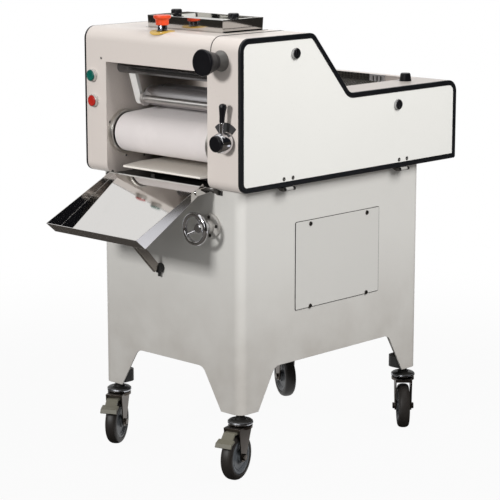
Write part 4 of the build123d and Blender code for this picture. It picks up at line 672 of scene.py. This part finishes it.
class MOULDER_OT_casing(MoulderStep, bpy.types.Operator):
    """Paints the head casing and its covers, and puts in their edge trim and screws"""

    bl_idname = "moulder.casing"
    bl_label = "Head casing"

    def execute(self, context):
        colours = context.scene.moulder.colours
        deck, plates = shade(colours.head, 0.72), shade(colours.head, 0.93)
        dress(paint("head_paint", colours.head), "head_shell")
        # Painted shade: the low top of the right housing, behind the slope, is painted darker
        dress(paint("housing_paint", colours.head, other=deck, share_of=self.on_shaded_deck), "right_housing")
        dress(self.deck_finish(colours.head), "rear_deck")
        dress(paint("cover_paint", colours.cover, 0.4), "left_cover")
        # Back and hinge knuckles of the hinged cover in grey: partly primer, partly painted shade that
        # keeps them dark
        hinged = paint("hinged_cover_paint", colours.cover, 0.4, other=PRIMED_AND_SHADED, share_of=self.on_back)
        dress(hinged, "right_cover")
        # Painted shade: the side plates go dark brown deep inside, between the rollers
        inner = two_tone("inner_paint", plates, DEEP_SHADE, self.deep_inside, (0.42, 0.6), (0, 0))
        dress(inner, "left_side_plate", "right_side_plate")
        trim = rubber("edge_trim", (0.005, 0.0055, 0.007), 0.42)
        dress(trim, "left_cover_trim", "right_cover_trim")
        self.seam(trim)
        self.fasteners()
        return {"FINISHED"}

    def on_shaded_deck(self, surface):
        """1 on the low top of the right housing, behind the slope, where it takes painted shade."""
        height = surface.axis("Z")
        above = surface.between(height, DECK_TOP - 2 * MM, DECK_TOP - 1 * MM)
        below = surface.between(height, DECK_TOP + 2 * MM, DECK_TOP + 1 * MM)
        return above * below * surface.between(surface.axis("Y"), 0.1, 0.12)

    def on_back(self, surface):
        """1 on the back of the hinged cover and on its hinge knuckles, and 0 on its outer face."""
        face = seat("right_cover", (SIDE_OUT, 0, 900), LEFT).translation.x
        outer = surface.between(surface.axis("X"), face - 1.2 * MM, face - 0.8 * MM)
        above_hinge = surface.between(surface.axis("Z"), 0.7605, 0.762)
        return 1.0 - outer * above_hinge

    def deck_finish(self, colour):
        """Paint on the rear deck, with a bare slotted bracket, and painted shade, near black, on the wall
        behind the hung mesh.
        """
        surface = Surface("deck_paint", {"Specular IOR Level": 0.42})
        drift = surface.noise(surface.place(), scale=60.0, detail=3.0)
        across, depth = surface.axis("X"), surface.axis("Y")
        bracket = surface.between(depth, 0.4978, 0.4972)
        wall = surface.between(depth, 0.4972, 0.4978) * surface.between(depth, 0.4992, 0.4986)
        painted_shade_behind_mesh = wall * surface.between(across, 0.077, 0.0755)
        tone = surface.tones(colour, 0.96, 1.03, drift)
        # Painted shade: the wall behind the hung mesh is near black
        tone = surface.mix(tone, (0.03, 0.028, 0.024), painted_shade_behind_mesh)
        return surface.feed(
            colour=surface.mix(tone, (0.66, 0.66, 0.68), bracket),
            roughness=0.32 + 0.08 * drift,
            metallic=bracket,
            normal=surface.round_edge(0.8 * MM),
        )

    def deep_inside(self, surface):
        """1 between the rollers, where the side plates take a painted shade of dark brown."""
        depth = surface.axis("Y")
        return surface.between(depth, -0.205, -0.14) * surface.between(depth, 0.07, 0.0)

    def seam(self, surface):
        """A rubber bead in the seam of shell and right housing, over the top and down the front."""
        low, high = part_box("head_shell")
        across, radius = high.x, 33 * MM
        centre = Vector((across, low.y + radius, high.z - radius))
        points = [Vector((across, low.y, high.z - down * MM)) for down in (88, 60, 40)]
        bends, run, steps = 12, 0.3, 23
        for step in range(bends + 1):
            angle = pi - pi / 2 * step / bends
            points.append(centre + radius * Vector((0, cos(angle), sin(angle))))
        for step in range(1, steps + 1):
            start = ((across - 2 * MM) / MM, (centre.y + run * step / steps) / MM, TOP_OUT)
            spot = seat("head_shell", start, DOWN).translation
            points.append(Vector((across, spot.y, spot.z)))
        bead("seam_bead", surface, points, 1.3)

    def fasteners(self):
        """Screws of both covers, of the left plate inside the opening and of the left column."""
        dark = steel("dark_screw", (0.2, 0.19, 0.18), 0.34)
        bright = steel("bright_screw", (0.36, 0.35, 0.33), 0.3)
        sunk = Matrix.Translation((0, 0, -1.4 * MM))
        hinges = [seat("right_cover", (SIDE_OUT, y, 780), LEFT) @ sunk for y in (-152, -118, 308, 341)]
        screws("cover_hinge_screws", bright, "right_cover", hinges, 5.8)
        left = ((-270, 800), (-270, 1100), (-60, 1100), (130, 930), (505, 930), (505, 800))
        cover = [seat("left_cover", (-SIDE_OUT, y, z), RIGHT) for y, z in left]
        screws("left_cover_screws", bright, "frame", cover, 5.0)
        inside = ((-302, 896), (-245, 801), (-179, 795))
        plate = [seat("left_side_plate", (-100, y, z), LEFT) for y, z in inside]
        screws("plate_screws", dark, "frame", plate, 3.4)
        column = seat("head_shell", (-222.4, FRONT_OUT, 1065.6), BACK)
        screws("column_screw", dark, "frame", [column], 3.4)


class MOULDER_OT_stand(MoulderStep, bpy.types.Operator):
    """Paints the stand and puts in the screws of its access panel"""

    bl_idname = "moulder.stand"
    bl_label = "Stand"

    def execute(self, context):
        colour = context.scene.moulder.colours.stand
        # Painted shade: the top of the stand, under the head, is near black
        under_head = zone("Z", 0.7575, 0.7585)
        stand = paint("stand_paint", colour, 0.38, dust_and_shade=0.9, other=SHADE_UNDER_HEAD, share_of=under_head)
        dress(stand, "base_cabinet")
        dress(paint("panel_paint", shade(colour, 0.94), 0.38), "access_panel")
        corners = [seat("access_panel", (SIDE_OUT, y, z), LEFT) for y in (-22, 205) for z in (644, 423)]
        screws("panel_screws", steel("panel_screw", (0.13, 0.12, 0.11), 0.36), "frame", corners, 6.0)
        dress(cast("motor_paint", (0.06, 0.065, 0.07), 0.5), "drive_motor")
        self.panel_edge()
        return {"FINISHED"}

    def panel_edge(self):
        """A dark rubber bead round the access panel, starting in the middle of its lower edge."""
        low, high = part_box("access_panel")
        across = low.x + 0.9 * MM
        middle = (across, (low.y + high.y) / 2, low.z)
        right = [(across, high.y, z) for z in (low.z, high.z)]
        left = [(across, low.y, z) for z in (high.z, low.z)]
        line = rounded([middle, *right, *left, middle], 4 * MM)[:-1]
        bead("panel_bead", rubber("panel_rubber", (0.02, 0.019, 0.018)), line, 1.1, loop=True)


class MOULDER_OT_hopper(MoulderStep, bpy.types.Operator):
    """Polishes the hopper and finishes its guides with their clamp knobs"""

    bl_idname = "moulder.hopper"
    bl_label = "Hopper"

    def execute(self, context):
        polished = steel("hopper_steel", (0.66, 0.65, 0.63), 0.07, (1, 14, 14), relief=0.05, smudge=0.05)
        dress(polished, "hopper")
        self.walls(polished)
        for guide in ("guide_left", "guide_right"):
            low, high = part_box(guide)
            on_knob = near((low + high) / 2, (1, 1, 0), 16.3 * MM, 15.9 * MM)
            name = guide.replace("guide", "guide_plastic")
            dress(two_tone(name, (0.72, 0.71, 0.66), BLACK, on_knob, (0.4, 0.28), (0, 0)), guide)
        return {"FINISHED"}

    def walls(self, surface):
        """The folded sheet of the four walls, a little wider at the top, with its hem turned in."""
        y, z = -148, 1165
        left = seat("hopper", (-SIDE_OUT, y, z), RIGHT).translation.x
        right = seat("hopper", (SIDE_OUT, y, z), LEFT).translation.x
        front = seat("hopper", (0, FRONT_OUT, z), BACK).translation.y
        rear = seat("hopper", (0, -FRONT_OUT, z), FRONT).translation.y
        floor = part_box("head_shell")[1].z
        section = ((0.1, 1.6), (1.5, 32.9), (1.2, 33.5), (-2.0, 33.5), (-2.2, 32.9), (-2.2, 24.5))
        shape = Shape()
        rings = []
        for out, height in section:
            west, east = left - out * MM, right + out * MM
            south, north = front - out * MM, rear + out * MM
            corners = ((west, south), (east, south), (east, north), (west, north))
            rings.append(shape.ring([(x, y, floor + height * MM) for x, y in corners]))
        shape.skin(rings, loop=True)
        shape.piece("hopper_walls", surface, "frame", "stainless", FOLDED)


class MOULDER_OT_belt(MoulderStep, bpy.types.Operator):
    """Makes the belt in woven cloth and finishes its drums, flanges and board"""

    bl_idname = "moulder.belt"
    bl_label = "Belt"

    def execute(self, context):
        colours = context.scene.moulder.colours
        self.loop(cloth("belt_weave", colours.belt))
        dress(plastic("board_plastic", colours.board, 0.42, grain=160.0, relief=0.06), "pressing_board")
        dress(paint("carrier_paint", (0.03, 0.028, 0.027), 0.5), "board_carrier")
        dress(steel("drum_steel", (0.75, 0.73, 0.7), 0.5, (14, 1, 1)), "front_drum", "rear_drum")
        dress(steel("flange_steel", (0.62, 0.6, 0.56), 0.34), "bearing_flanges")
        return {"FINISHED"}

    def loop(self, surface):
        """The endless cloth round both drums, with its edges rounded a little."""
        front, _ = joint("front_drum_spin")
        rear, _ = joint("rear_drum_spin")
        low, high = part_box("belt")
        line = wrap(front, rear, front.y - low.y, high.y - rear.y, 6 * MM)
        thickness, edge = 2.2 * MM, 0.5 * MM
        section = [(low.x, 0.3), (low.x + edge, 0), (high.x - edge, 0), (high.x, 0.3)]
        section += [(high.x, 0.7), (high.x - edge, 1), (low.x + edge, 1), (low.x, 0.7)]
        shape = Shape()
        rings = []
        for index, point in enumerate(line):
            way = (line[(index + 1) % len(line)] - line[index - 1]).normalized()
            into = thickness * Vector((0, -way.z, way.y))
            rings.append(shape.ring([Vector((x, point.y, point.z)) + deep * into for x, deep in section]))
        shape.skin(rings, loop=True)
        made = shape.piece("belt_cloth", surface, "frame", "belt_cloth", WOVEN)
        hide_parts("belt")
        length = sum((there - here).length for here, there in closed(line))


class MOULDER_OT_chain_mesh(MoulderStep, bpy.types.Operator):
    """Weaves the chain mesh on the belt from flattened spiral wires"""

    bl_idname = "moulder.chain_mesh"
    bl_label = "Chain mesh"

    def execute(self, context):
        size = context.scene.moulder.mesh
        woven = steel("mesh_wire", (0.12, 0.116, 0.1), 0.42, smudge=0.2)
        low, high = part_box("chain_mesh")
        flat = 4.0 * MM
        start = Vector((0, low.y, low.z + flat / 2))
        run = Vector((0, high.y - low.y, high.z - low.z - flat))
        lying = self.weave(size, start, run, (low.x, high.x), size.rows)
        made = lying.piece("woven_chain_mesh", woven, "frame", "stainless", SMOOTH)
        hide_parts("chain_mesh")
        wall = seat("rear_deck", (0, 300, 970), BACK).translation.y
        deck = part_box("rear_deck")[1].z
        foot, top = deck - 21.5 * MM, deck - 1.5 * MM
        start = Vector((0, wall - 2.4 * MM, foot))
        hung = self.weave(size, start, Vector((0, 0, top - foot)), (low.x, 18 * MM), 3)
        hung.piece("hung_mesh_end", woven, "frame", "stainless", SMOOTH)
        return {"FINISHED"}

    def weave(self, size, start, run, span, rows):
        """Flattened spiral wires across a span, one after another along a run."""
        shape = Shape()
        around, mesh_width, overlap = 8, 0.35, 0.62
        along = run.normalized()
        up = Vector((0, -along.z, along.y))
        pitch = run.length / (rows + 0.3)
        half = overlap * pitch
        first, last = span[0] + size.wire / 2, span[1] - size.wire / 2
        steps = around * round(size.turns * (last - first) / mesh_width)
        for row in range(rows):
            middle = start + along * (half + size.wire / 2 + row * pitch)
            points = []
            for step in range(steps + 1):
                angle = 2 * pi * step / around
                across = first + (last - first) * step / steps
                spot = middle + along * half * cos(angle) + up * (size.height - size.wire) / 2 * sin(angle)
                points.append(Vector((across, spot.y, spot.z)))
            shape.tube(points, size.wire / 2, 5)
        return shape


class MOULDER_OT_drive(MoulderStep, bpy.types.Operator):
    """Finishes rollers, bars and bearings, and links up the drive chains"""

    bl_idname = "moulder.drive"
    bl_label = "Rollers and drive"

    def execute(self, context):
        rollers = [f"{pair}_{row}_roller" for pair in ("lower", "upper") for row in ("front", "rear")]
        dress(steel("roller_steel", (0.6, 0.59, 0.6), 0.42, (16, 1, 1)), *rollers)
        rod, guard_bar = (0.78, 0.76, 0.74), (0.26, 0.265, 0.275)
        bars = two_tone("bar_steel", rod, guard_bar, zone("Z", 1.018, 1.02), (0.36, 0.24), (1, 1))
        dress(bars, "cross_bars")
        dress(paint("arm_paint", (0.8, 0.785, 0.76), 0.34), "guard_arms")
        blocks = cast("bearing_iron", (0.2, 0.2, 0.205))
        dress(blocks, "lower_bearing_blocks", "upper_bearing_blocks", "motor_sprocket")
        self.chains(cast("chain_steel", (0.24, 0.23, 0.215), 0.42))
        return {"FINISHED"}

    def chains(self, surface):
        """Three chains: motor to rear drum, front drum to lower roller, lower to upper roller."""
        low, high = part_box("drive_chain")
        width = 4.0 * MM
        near_side, far_side = low.x + width / 2, high.x - width / 2
        loops = (
            ("motor_sprocket", "rear_drum", 35.5, 45.5, near_side),
            ("front_drum", "lower_front", 33.5, 27.5, near_side),
            ("lower_front", "upper_front", 27.5, 27.5, far_side),
        )
        shape = Shape()
        for start, end, start_radius, end_radius, middle in loops:
            ends = [joint(f"{name}_spin")[0] for name in (start, end)]
            line = wrap(*ends, start_radius * MM, end_radius * MM, 1.0 * MM)
            self.links(shape, self.pins(line, middle), width)
        made = shape.piece("roller_chains", surface, "frame", "cast_iron", CUT)
        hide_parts("drive_chain")

    def pins(self, line, middle):
        """An even number of points along a closed line, about a chain's pitch apart."""
        pitch = 9.4 * MM
        lengths = [0.0]
        for here, there in closed(line):
            lengths.append(lengths[-1] + (there - here).length)
        count = 2 * round(lengths[-1] / (2 * pitch))
        pins = []
        index = 0
        for number in range(count):
            goal = lengths[-1] * number / count
            while lengths[index + 1] < goal:
                index += 1
            share = (goal - lengths[index]) / (lengths[index + 1] - lengths[index])
            point = line[index].lerp(line[(index + 1) % len(line)], share)
            pins.append(Vector((middle, point.y, point.z)))
        return pins

    def links(self, shape, pins, width):
        """A roller at each pin, and plates from pin to pin that lie inside and outside in turn."""
        roll, roll_radius, plate_radius, plate = 0.24 * width, 2.6 * MM, 2.9 * MM, 0.1 * width
        roller = [(0, -roll), (roll_radius, -roll), (roll_radius, roll), (0, roll)]
        for number, (pin, after) in enumerate(closed(pins)):
            shape.turn(roller, facing(pin, RIGHT), 8)
            way = (after - pin).normalized()
            up = Vector((0, -way.z, way.y))
            outline = []
            for centre, first in ((pin, pi / 2), (after, -pi / 2)):
                for step in range(5):
                    angle = first + pi * step / 4
                    outline.append(centre + plate_radius * (cos(angle) * way + sin(angle) * up))
            for side in (-1, 1):
                inner = side * width * (0.26 if number % 2 else 0.38)
                places = (inner, inner + side * plate)
                faces = [shape.ring([spot + Vector((x, 0, 0)) for spot in outline]) for x in places]
                shape.skin(faces)
                shape.cap(faces)


class MOULDER_OT_controls(MoulderStep, bpy.types.Operator):
    """Finishes knobs, levers, buttons and wheels, and turns the emergency stop"""

    bl_idname = "moulder.controls"
    bl_label = "Controls"

    def execute(self, context):
        colours = context.scene.moulder.colours
        black = plastic("black_knob", (0.005, 0.005, 0.0065), 0.32, gloss=0.32)
        dress(black, "gap_knob", "lever_grip", "deck_knob")
        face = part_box("cover_lock_front")[1].x
        on_face = zone("X", face - 0.9 * MM, face - 0.5 * MM)
        lock = two_tone("lock_plate", (0.5, 0.5, 0.51), BLACK, on_face, (0.3, 0.3), (1, 0))
        dress(lock, "cover_lock_front", "cover_lock_rear")
        chrome = steel("chrome_plate", (0.72, 0.72, 0.74), 0.07, relief=0.03)
        dress(chrome, "gap_lever", "handwheel")
        self.lever_hub(chrome)
        dress(plastic("index_plate", (0.035, 0.035, 0.036), 0.5), "lever_index_plate")
        bezel = steel("bezel_plate", (0.74, 0.73, 0.71), 0.34)
        dress(bezel, "button_bezels")
        self.push_button("start", colours.start, "green_plastic", bezel)
        self.push_button("stop", colours.halt, "red_plastic", bezel)
        knob_collar, wheel_flange = (0.135, 0.13, 0.122), (0.5, 0.48, 0.45)
        on_flange = zone("Z", 0.75, 0.74)
        collar = two_tone("collar_grey", knob_collar, wheel_flange, on_flange, (0.36, 0.42), (0.3, 0))
        dress(collar, "control_bushes")
        self.flange_bolts()
        self.emergency_stop(colours)
        return {"FINISHED"}

    def front_of(self, middle):
        """A placement on the casing's front, before a point, that looks forward."""
        return facing(Vector((middle.x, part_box("head_shell")[0].y, middle.z)), FRONT)

    def lever_hub(self, surface):
        """A rounded chrome shell on the lever's hub."""
        centre, _ = joint("gap_lever_swing")
        shell = [(20.0, 0.8), (22.8, 0.8), (25.4, 5.0), (26.8, 11.0), (27.1, 17.0), (26.4, 25.0)]
        shell += [(24.8, 31.0), (22.7, 35.4), (20.8, 37.0), (20.0, 36.0), (20.0, 0.8)]
        place = self.front_of(centre)
        turned("lever_hub", surface, "gap_lever", "chrome", place, shell, segments=72, sharp=ROUND)

    def push_button(self, name, colour, slot, bezel):
        """A sleeve on the bezel and a round cap in it."""
        button = f"{name}_button"
        cap = plastic(f"{name}_cap", colour, 0.3, grain=300.0, relief=0.05)
        dress(cap, button)
        low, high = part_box(button)
        place = self.front_of((low + high) / 2)
        sleeve = [(14.3, 4.8), (16.4, 4.8), (16.4, 9.8), (15.7, 10.6), (14.6, 10.6), (14.3, 10.2)]
        turned(f"{name}_sleeve", bezel, "frame", "bright_steel", place, [*sleeve, sleeve[0]])
        face = [(0, 9.7), (13.4, 9.7), (14.0, 10.2), (14.0, 11.8), (13.3, 12.5), (11.6, 12.7), (11.0, 12.4)]
        turned(f"{name}_cap", cap, button, slot, place, [*face, (0, 12.4)])

    def flange_bolts(self):
        """Four bolt heads round the handwheel's flange."""
        wheel = joint("handwheel_turn")[0] / MM
        circle = 24
        bolts = []
        for angle in (radians(95), radians(5), radians(-85), radians(185)):
            start = (wheel.x + circle * cos(angle), FRONT_OUT, wheel.z + circle * sin(angle))
            bolts.append(seat("control_bushes", start, BACK))
        screws("flange_bolts", steel("flange_bolt", (0.07, 0.066, 0.062), 0.4), "frame", bolts, 4.4)

    def emergency_stop(self, colours):
        """The mushroom, hollow below, on its collar and its plate."""
        low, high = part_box("estop_button")
        middle = (low + high) / 2
        place = Matrix.Translation((middle.x, middle.y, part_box("head_shell")[1].z))
        self.stop_plate(place, plastic("blank_plate", colours.disc, 0.42, grain=300.0, relief=0.05))
        head = [(12.8, 16.0), (16.4, 16.0), (17.0, 17.5), (17.2, 27.5), (18.2, 30.5), (21.3, 33.0)]
        head += [(22.5, 34.5), (22.5, 39.8), (22.0, 41.0), (20.6, 41.6), (12.0, 41.9), (0, 42.0)]
        lines = (rounded(head, 1.2), [(12.8, 16.0), (12.8, 29.5), (0, 30.0)])
        red = plastic("stop_mushroom", colours.stop, 0.34, grain=260.0, relief=0.05)
        ride = ("estop_button", "red_plastic")
        made = turned("stop_mushroom", red, *ride, place, *lines, segments=64, sharp=ROUND)
        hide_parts("estop_button")
        band = [(0, 0.6), (14.6, 0.6), (14.8, 2.4), (13.4, 3.2)]
        band += [(12.5, 3.4), (12.5, 21.4), (11.9, 22.0), (0, 22.0)]
        plated = steel("collar_plate", (0.2, 0.21, 0.24), 0.16)
        made = turned("stop_collar", plated, "frame", "chrome", place, band, segments=64, sharp=ROUND)
        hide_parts("estop_base")

    def stop_plate(self, place, surface):
        """The blank plate under the emergency stop: flat behind, and bent down over the rounded edge."""
        wide, deep, thick, bend, flat_from = 35.0, 30.0, 1.4, 62.0, 2.0
        rows = []
        for share in (0.25, 0.5, 0.75, 0.97, 1.0):
            row = []
            for angle in all_round(72):
                x, y = wide * share * cos(angle), deep * share * sin(angle)
                row.append((x, y, -max(0.0, flat_from - y) ** 2 / (2 * bend)))
            rows.append(row)
        shape = Shape()
        faces = []
        bottom, rim, rim_share = 0.1, thick - 0.4, 0.985
        for lift, order in ((thick, rows), (rim, rows[-1:]), (bottom, rows[::-1])):
            for row in order:
                shrink = rim_share if lift == thick and row is rows[-1] else 1.0
                points = [Vector((x * shrink, y * shrink, z + lift)) * MM for x, y, z in row]
                faces.append(shape.ring([place @ point for point in points]))
        tips = [shape.ring([place @ Vector((0, 0, lift * MM))]) for lift in (thick, bottom)]
        shape.skin([tips[0], *faces, tips[1]])
        shape.piece("stop_plate", surface, "frame", "yellow_plastic", MOULDED)


class MOULDER_OT_tray(MoulderStep, bpy.types.Operator):
    """Polishes the discharge tray and finishes its prop and pins"""

    bl_idname = "moulder.tray"
    bl_label = "Discharge tray"

    def execute(self, context):
        polished = steel("tray_steel", (0.7, 0.685, 0.665), 0.05, (1, 9, 9), relief=0.03, smudge=0.03)
        dress(polished, "discharge_tray")
        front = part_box("base_cabinet")[0].y
        on_bumper = zone("Y", front - 16.0 * MM, front - 15.5 * MM)
        arm, bumper = (0.3, 0.275, 0.255), (0.012, 0.012, 0.012)
        dress(two_tone("prop_steel", arm, bumper, on_bumper, (0.26, 0.6), (1, 0)), "tray_prop")
        # Painted shade: the hinge brackets are dark so that they sink into the shadow under the head
        dress(steel("bracket_steel", (0.14, 0.135, 0.13), 0.4), "hinge_brackets")
        return {"FINISHED"}


class MOULDER_OT_casters(MoulderStep, bpy.types.Operator):
    """Makes tyres and hubs, and finishes forks, raceways and brake pedals"""

    bl_idname = "moulder.casters"
    bl_label = "Casters"

    def execute(self, context):
        colours = context.scene.moulder.colours
        raceway, stem = (0.5, 0.51, 0.54), (0.018, 0.017, 0.016)
        tops = two_tone("raceway_plate", raceway, stem, zone("Z", 0.1515, 0.153), (0.26, 0.45), (1, 0))
        dress(tops, "caster_tops")
        fork = steel("fork_plate", (0.115, 0.098, 0.085), 0.3, smudge=0.16)
        tyre = rubber("tyre_rubber", colours.tyre, 0.5)
        hub = plastic("hub_plastic", colours.hub, 0.4)
        bolt = steel("axle_nut", (0.24, 0.22, 0.2), 0.34)
        for spot in CASTERS:
            dress(fork, f"caster_fork_{spot}")
            self.wheel(spot, tyre, hub)
            self.nuts(spot, bolt)
        pedal = paint("pedal_paint", colours.pedal, 0.5)
        dress(pedal, "brake_pedal_front_left", "brake_pedal_front_right")
        return {"FINISHED"}

    def wheel(self, spot, tyre, hub):
        """A rubber tyre and the hub in it, both the same on either side."""
        place = facing(*joint(f"caster_roll_{spot}"))
        body = f"caster_wheel_{spot}"
        seam = (46.6, 0.0)
        half = [(46.6, 13.0), (47.0, 15.6), (50.0, 16.0), (54.0, 15.9), (57.0, 14.8), (60.0, 11.8)]
        half += [(61.8, 7.5), (62.4, 3.0)]
        rim = rounded([seam, *both_sides(half), seam], 1.0, 2)
        made = turned(f"tyre_{spot}", tyre, body, "tyre_rubber", place, rim, segments=72)
        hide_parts(body)
        half = [(6.2, 18.4), (14.0, 18.4), (15.5, 17.0), (16.0, 12.5), (20.0, 10.4), (31.0, 10.4)]
        half += [(33.0, 11.2), (33.6, 13.0), (35.0, 13.4), (36.0, 12.6), (38.5, 12.6), (40.0, 14.8)]
        half += [(44.5, 15.2), (46.6, 14.2)]
        disc = rounded([*both_sides(half), half[0]], 0.8, 2)
        turned(f"hub_{spot}", hub, body, "tyre_rubber", place, disc, segments=72)

    def nuts(self, spot, surface):
        """A nut on either cheek of a fork, set on its skin a little above the axle."""
        centre, axis = joint(f"caster_roll_{spot}")
        fork = f"caster_fork_{spot}"
        shape = Shape()
        for way in (axis, -axis):
            start = (centre + 0.1 * way + Vector((0, 0, 9 * MM))) / MM
            reach = (seat(fork, start, -way).translation - centre).dot(way)
            shape.fastener(NUT, facing(centre + reach * way, way), 6.6 * MM, 4.6 * MM)
        shape.piece(f"axle_nuts_{spot}", surface, fork, "bright_steel", CUT)


class MOULDER_OT_stage(MoulderStep, bpy.types.Operator):
    """Sets out the floor, the dark surround, the lamps, the sky and the camera"""

    bl_idname = "moulder.stage"
    bl_label = "Stage"

    def execute(self, context):
        scene = context.scene
        stage = scene.moulder.stage
        scene.view_settings.view_transform = "Standard"
        self.floor()
        self.surround()
        for name, place, size, mirrored in LAMPS:
            self.lamp(f"{name}_lamp", place, size, getattr(stage, name), mirrored)
        self.sky(scene, stage.sky)
        self.camera(scene, stage)
        return {"FINISHED"}

    def floor(self):
        """A wide round floor."""
        shape = Shape()
        rings = [shape.ring([(0, 0, 0)])]
        for radius in (1.0, 3.0, 8.0, 20.0, 60.0):
            rings.append(shape.ring([(radius * cos(a), radius * sin(a), 0) for a in all_round(64)]))
        shape.skin(rings)
        self.staged(shape, "floor", self.backdrop("floor_white"))

    def surround(self):
        """For mirrors only: a dark carpet and curtain in front and on the right, and a roof there."""
        carpet = ((0.35, 0.004), (1.0, 0.004), (3.0, 0.004), (7.0, 0.004), (7.2, 0.2), (7.2, 2.6))
        roof = ((7.2, 2.6), (6.5, 6.0), (4.5, 9.0), (2.5, 10.5))
        pile, patch = (0.075, 0.066, 0.058), (0.85, 0.86, 0.95)
        on_patch = near((2.3, 1.5, 0.0), (1, 1, 1), 1.25, 0.75)
        dark = two_tone("carpet", pile, patch, on_patch, (0.9, 0.9), (0, 0))
        self.curtain("dark_carpet", carpet, 190, dark)
        self.curtain("dark_roof", roof, 310, plastic("roof_cloth", (0.022, 0.024, 0.034), 0.9, grain=20.0))

    def curtain(self, name, outline, start, surface):
        """A sheet round the middle, from a start angle to behind the right side, that only mirrors show."""
        end, steps = 462, 48
        arc = [radians(start + (end - start) * step / steps) for step in range(steps + 1)]
        shape = Shape()
        rows = [shape.ring([(r * cos(a), r * sin(a), height) for a in arc]) for r, height in outline]
        for low, high in zip(rows, rows[1:]):
            for one in range(steps):
                shape.mesh.faces.new((low[one], low[one + 1], high[one + 1], high[one]))
        made = self.staged(shape, name, surface)
        made.visible_camera = False
        made.visible_diffuse = False
        made.visible_shadow = False

    def staged(self, shape, name, surface):
        """Ends a mesh as an object of the scene, for the stage."""
        made = shape.thing(name, surface)
        return made

    def backdrop(self, name):
        """White where a camera, mirror or glass looks at it, and a pale floor that takes the shadow."""
        surface = Surface(name, {"Roughness": 0.9, "Specular IOR Level": 0.1})
        place = surface.place()
        drift = surface.noise(place, scale=0.8, detail=3.0)
        surface.feed(colour=surface.mix((0.2, 0.2, 0.2), (0.22, 0.22, 0.22), drift))
        light = surface.node("ShaderNodeEmission", None, {"Color": WHITE, "Strength": 1.0})
        matte = Field(surface, surface.shader.outputs[0])
        far = surface.node("ShaderNodeVectorMath", {"operation": "LENGTH"}, {0: place}, "Value")
        glow = (0.95 + 0.05 * surface.between(far, 1.0, 2.5)) * self.seen(surface)
        both = surface.node("ShaderNodeMixShader", None, {0: glow, 1: matte, 2: light})
        surface.fill(surface.tree.nodes["Material Output"].inputs["Surface"], both)
        return surface.material

    def seen(self, finish):
        """1 for rays of the camera, of mirrors and of glass."""
        kinds = ("Is Camera Ray", "Is Glossy Ray", "Is Transmission Ray")
        straight, mirrored, through = [finish.node("ShaderNodeLightPath", output=kind) for kind in kinds]
        return finish.between(straight + mirrored + through, 0.0, 1.0)

    def lamp(self, name, place, size, power, mirrored):
        """A square soft lamp that looks at the machine's middle."""
        data = bpy.data.lights.new(name, "AREA")
        data.size = size
        data.energy = power
        made = bpy.data.objects.new(name, data)
        made.location = place
        aim = Vector(LAMP_TARGET) - made.location
        made.rotation_euler = aim.to_track_quat("-Z", "Y").to_euler()
        made.visible_camera = False
        made.visible_glossy = mirrored
        bpy.context.scene.collection.objects.link(made)

    def sky(self, scene, strength):
        """Even light all round, which looks white."""
        world = bpy.data.worlds.new("studio")
        world.use_nodes = True
        scene.world = world
        finish = Finish(world.node_tree)
        even = finish.node("ShaderNodeBackground", None, {"Color": WHITE, "Strength": strength})
        white = finish.node("ShaderNodeBackground", None, {"Color": WHITE, "Strength": 1.0})
        both = finish.node("ShaderNodeMixShader", None, {0: self.seen(finish), 1: even, 2: white})
        finish.fill(world.node_tree.nodes["World Output"].inputs["Surface"], both)

    def camera(self, scene, stage):
        """The camera in the photographer's place."""
        data = bpy.data.cameras.new("camera")
        data.lens = stage.lens
        data.sensor_width = 36.0
        data.clip_end = 200.0
        made = bpy.data.objects.new("camera", data)
        level = cos(stage.pitch)
        ahead = Vector((-sin(stage.azimuth) * level, cos(stage.azimuth) * level, -sin(stage.pitch)))
        made.location = CAMERA_SPOT
        made.rotation_euler = ahead.to_track_quat("-Z", "Y").to_euler()
        scene.collection.objects.link(made)
        scene.camera = made


STEPS = (
    MOULDER_OT_casing,
    MOULDER_OT_stand,
    MOULDER_OT_hopper,
    MOULDER_OT_belt,
    MOULDER_OT_chain_mesh,
    MOULDER_OT_drive,
    MOULDER_OT_controls,
    MOULDER_OT_tray,
    MOULDER_OT_casters,
    MOULDER_OT_stage,
)


class MOULDER_PT_sidebar(bpy.types.Panel):
    """Lists the steps and the settings"""

    bl_idname = "MOULDER_PT_sidebar"
    bl_label = "Dough moulder"
    bl_space_type = "VIEW_3D"
    bl_region_type = "UI"
    bl_category = "Moulder"

    def draw(self, context):
        settings = context.scene.moulder
        for group in (settings.colours, settings.mesh, settings.stage):
            box = self.layout.box()
            for name in group.__annotations__:
                box.prop(group, name)
        for step in STEPS:
            self.layout.operator(step.bl_idname)


CLASSES = (MoulderColours, MoulderMesh, MoulderStage, MoulderSettings, *STEPS, MOULDER_PT_sidebar)


def register():
    for entry in CLASSES:
        bpy.utils.register_class(entry)
    bpy.types.Scene.moulder = PointerProperty(type=MoulderSettings)


def unregister():
    del bpy.types.Scene.moulder
    for entry in reversed(CLASSES):
        bpy.utils.unregister_class(entry)


def main():
    register()
    bpy.ops.moulder.casing()
    bpy.ops.moulder.stand()
    bpy.ops.moulder.hopper()
    bpy.ops.moulder.belt()
    bpy.ops.moulder.chain_mesh()
    bpy.ops.moulder.drive()
    bpy.ops.moulder.controls()
    bpy.ops.moulder.tray()
    bpy.ops.moulder.casters()
    bpy.ops.moulder.stage()


if __name__ == "__main__":
    main()
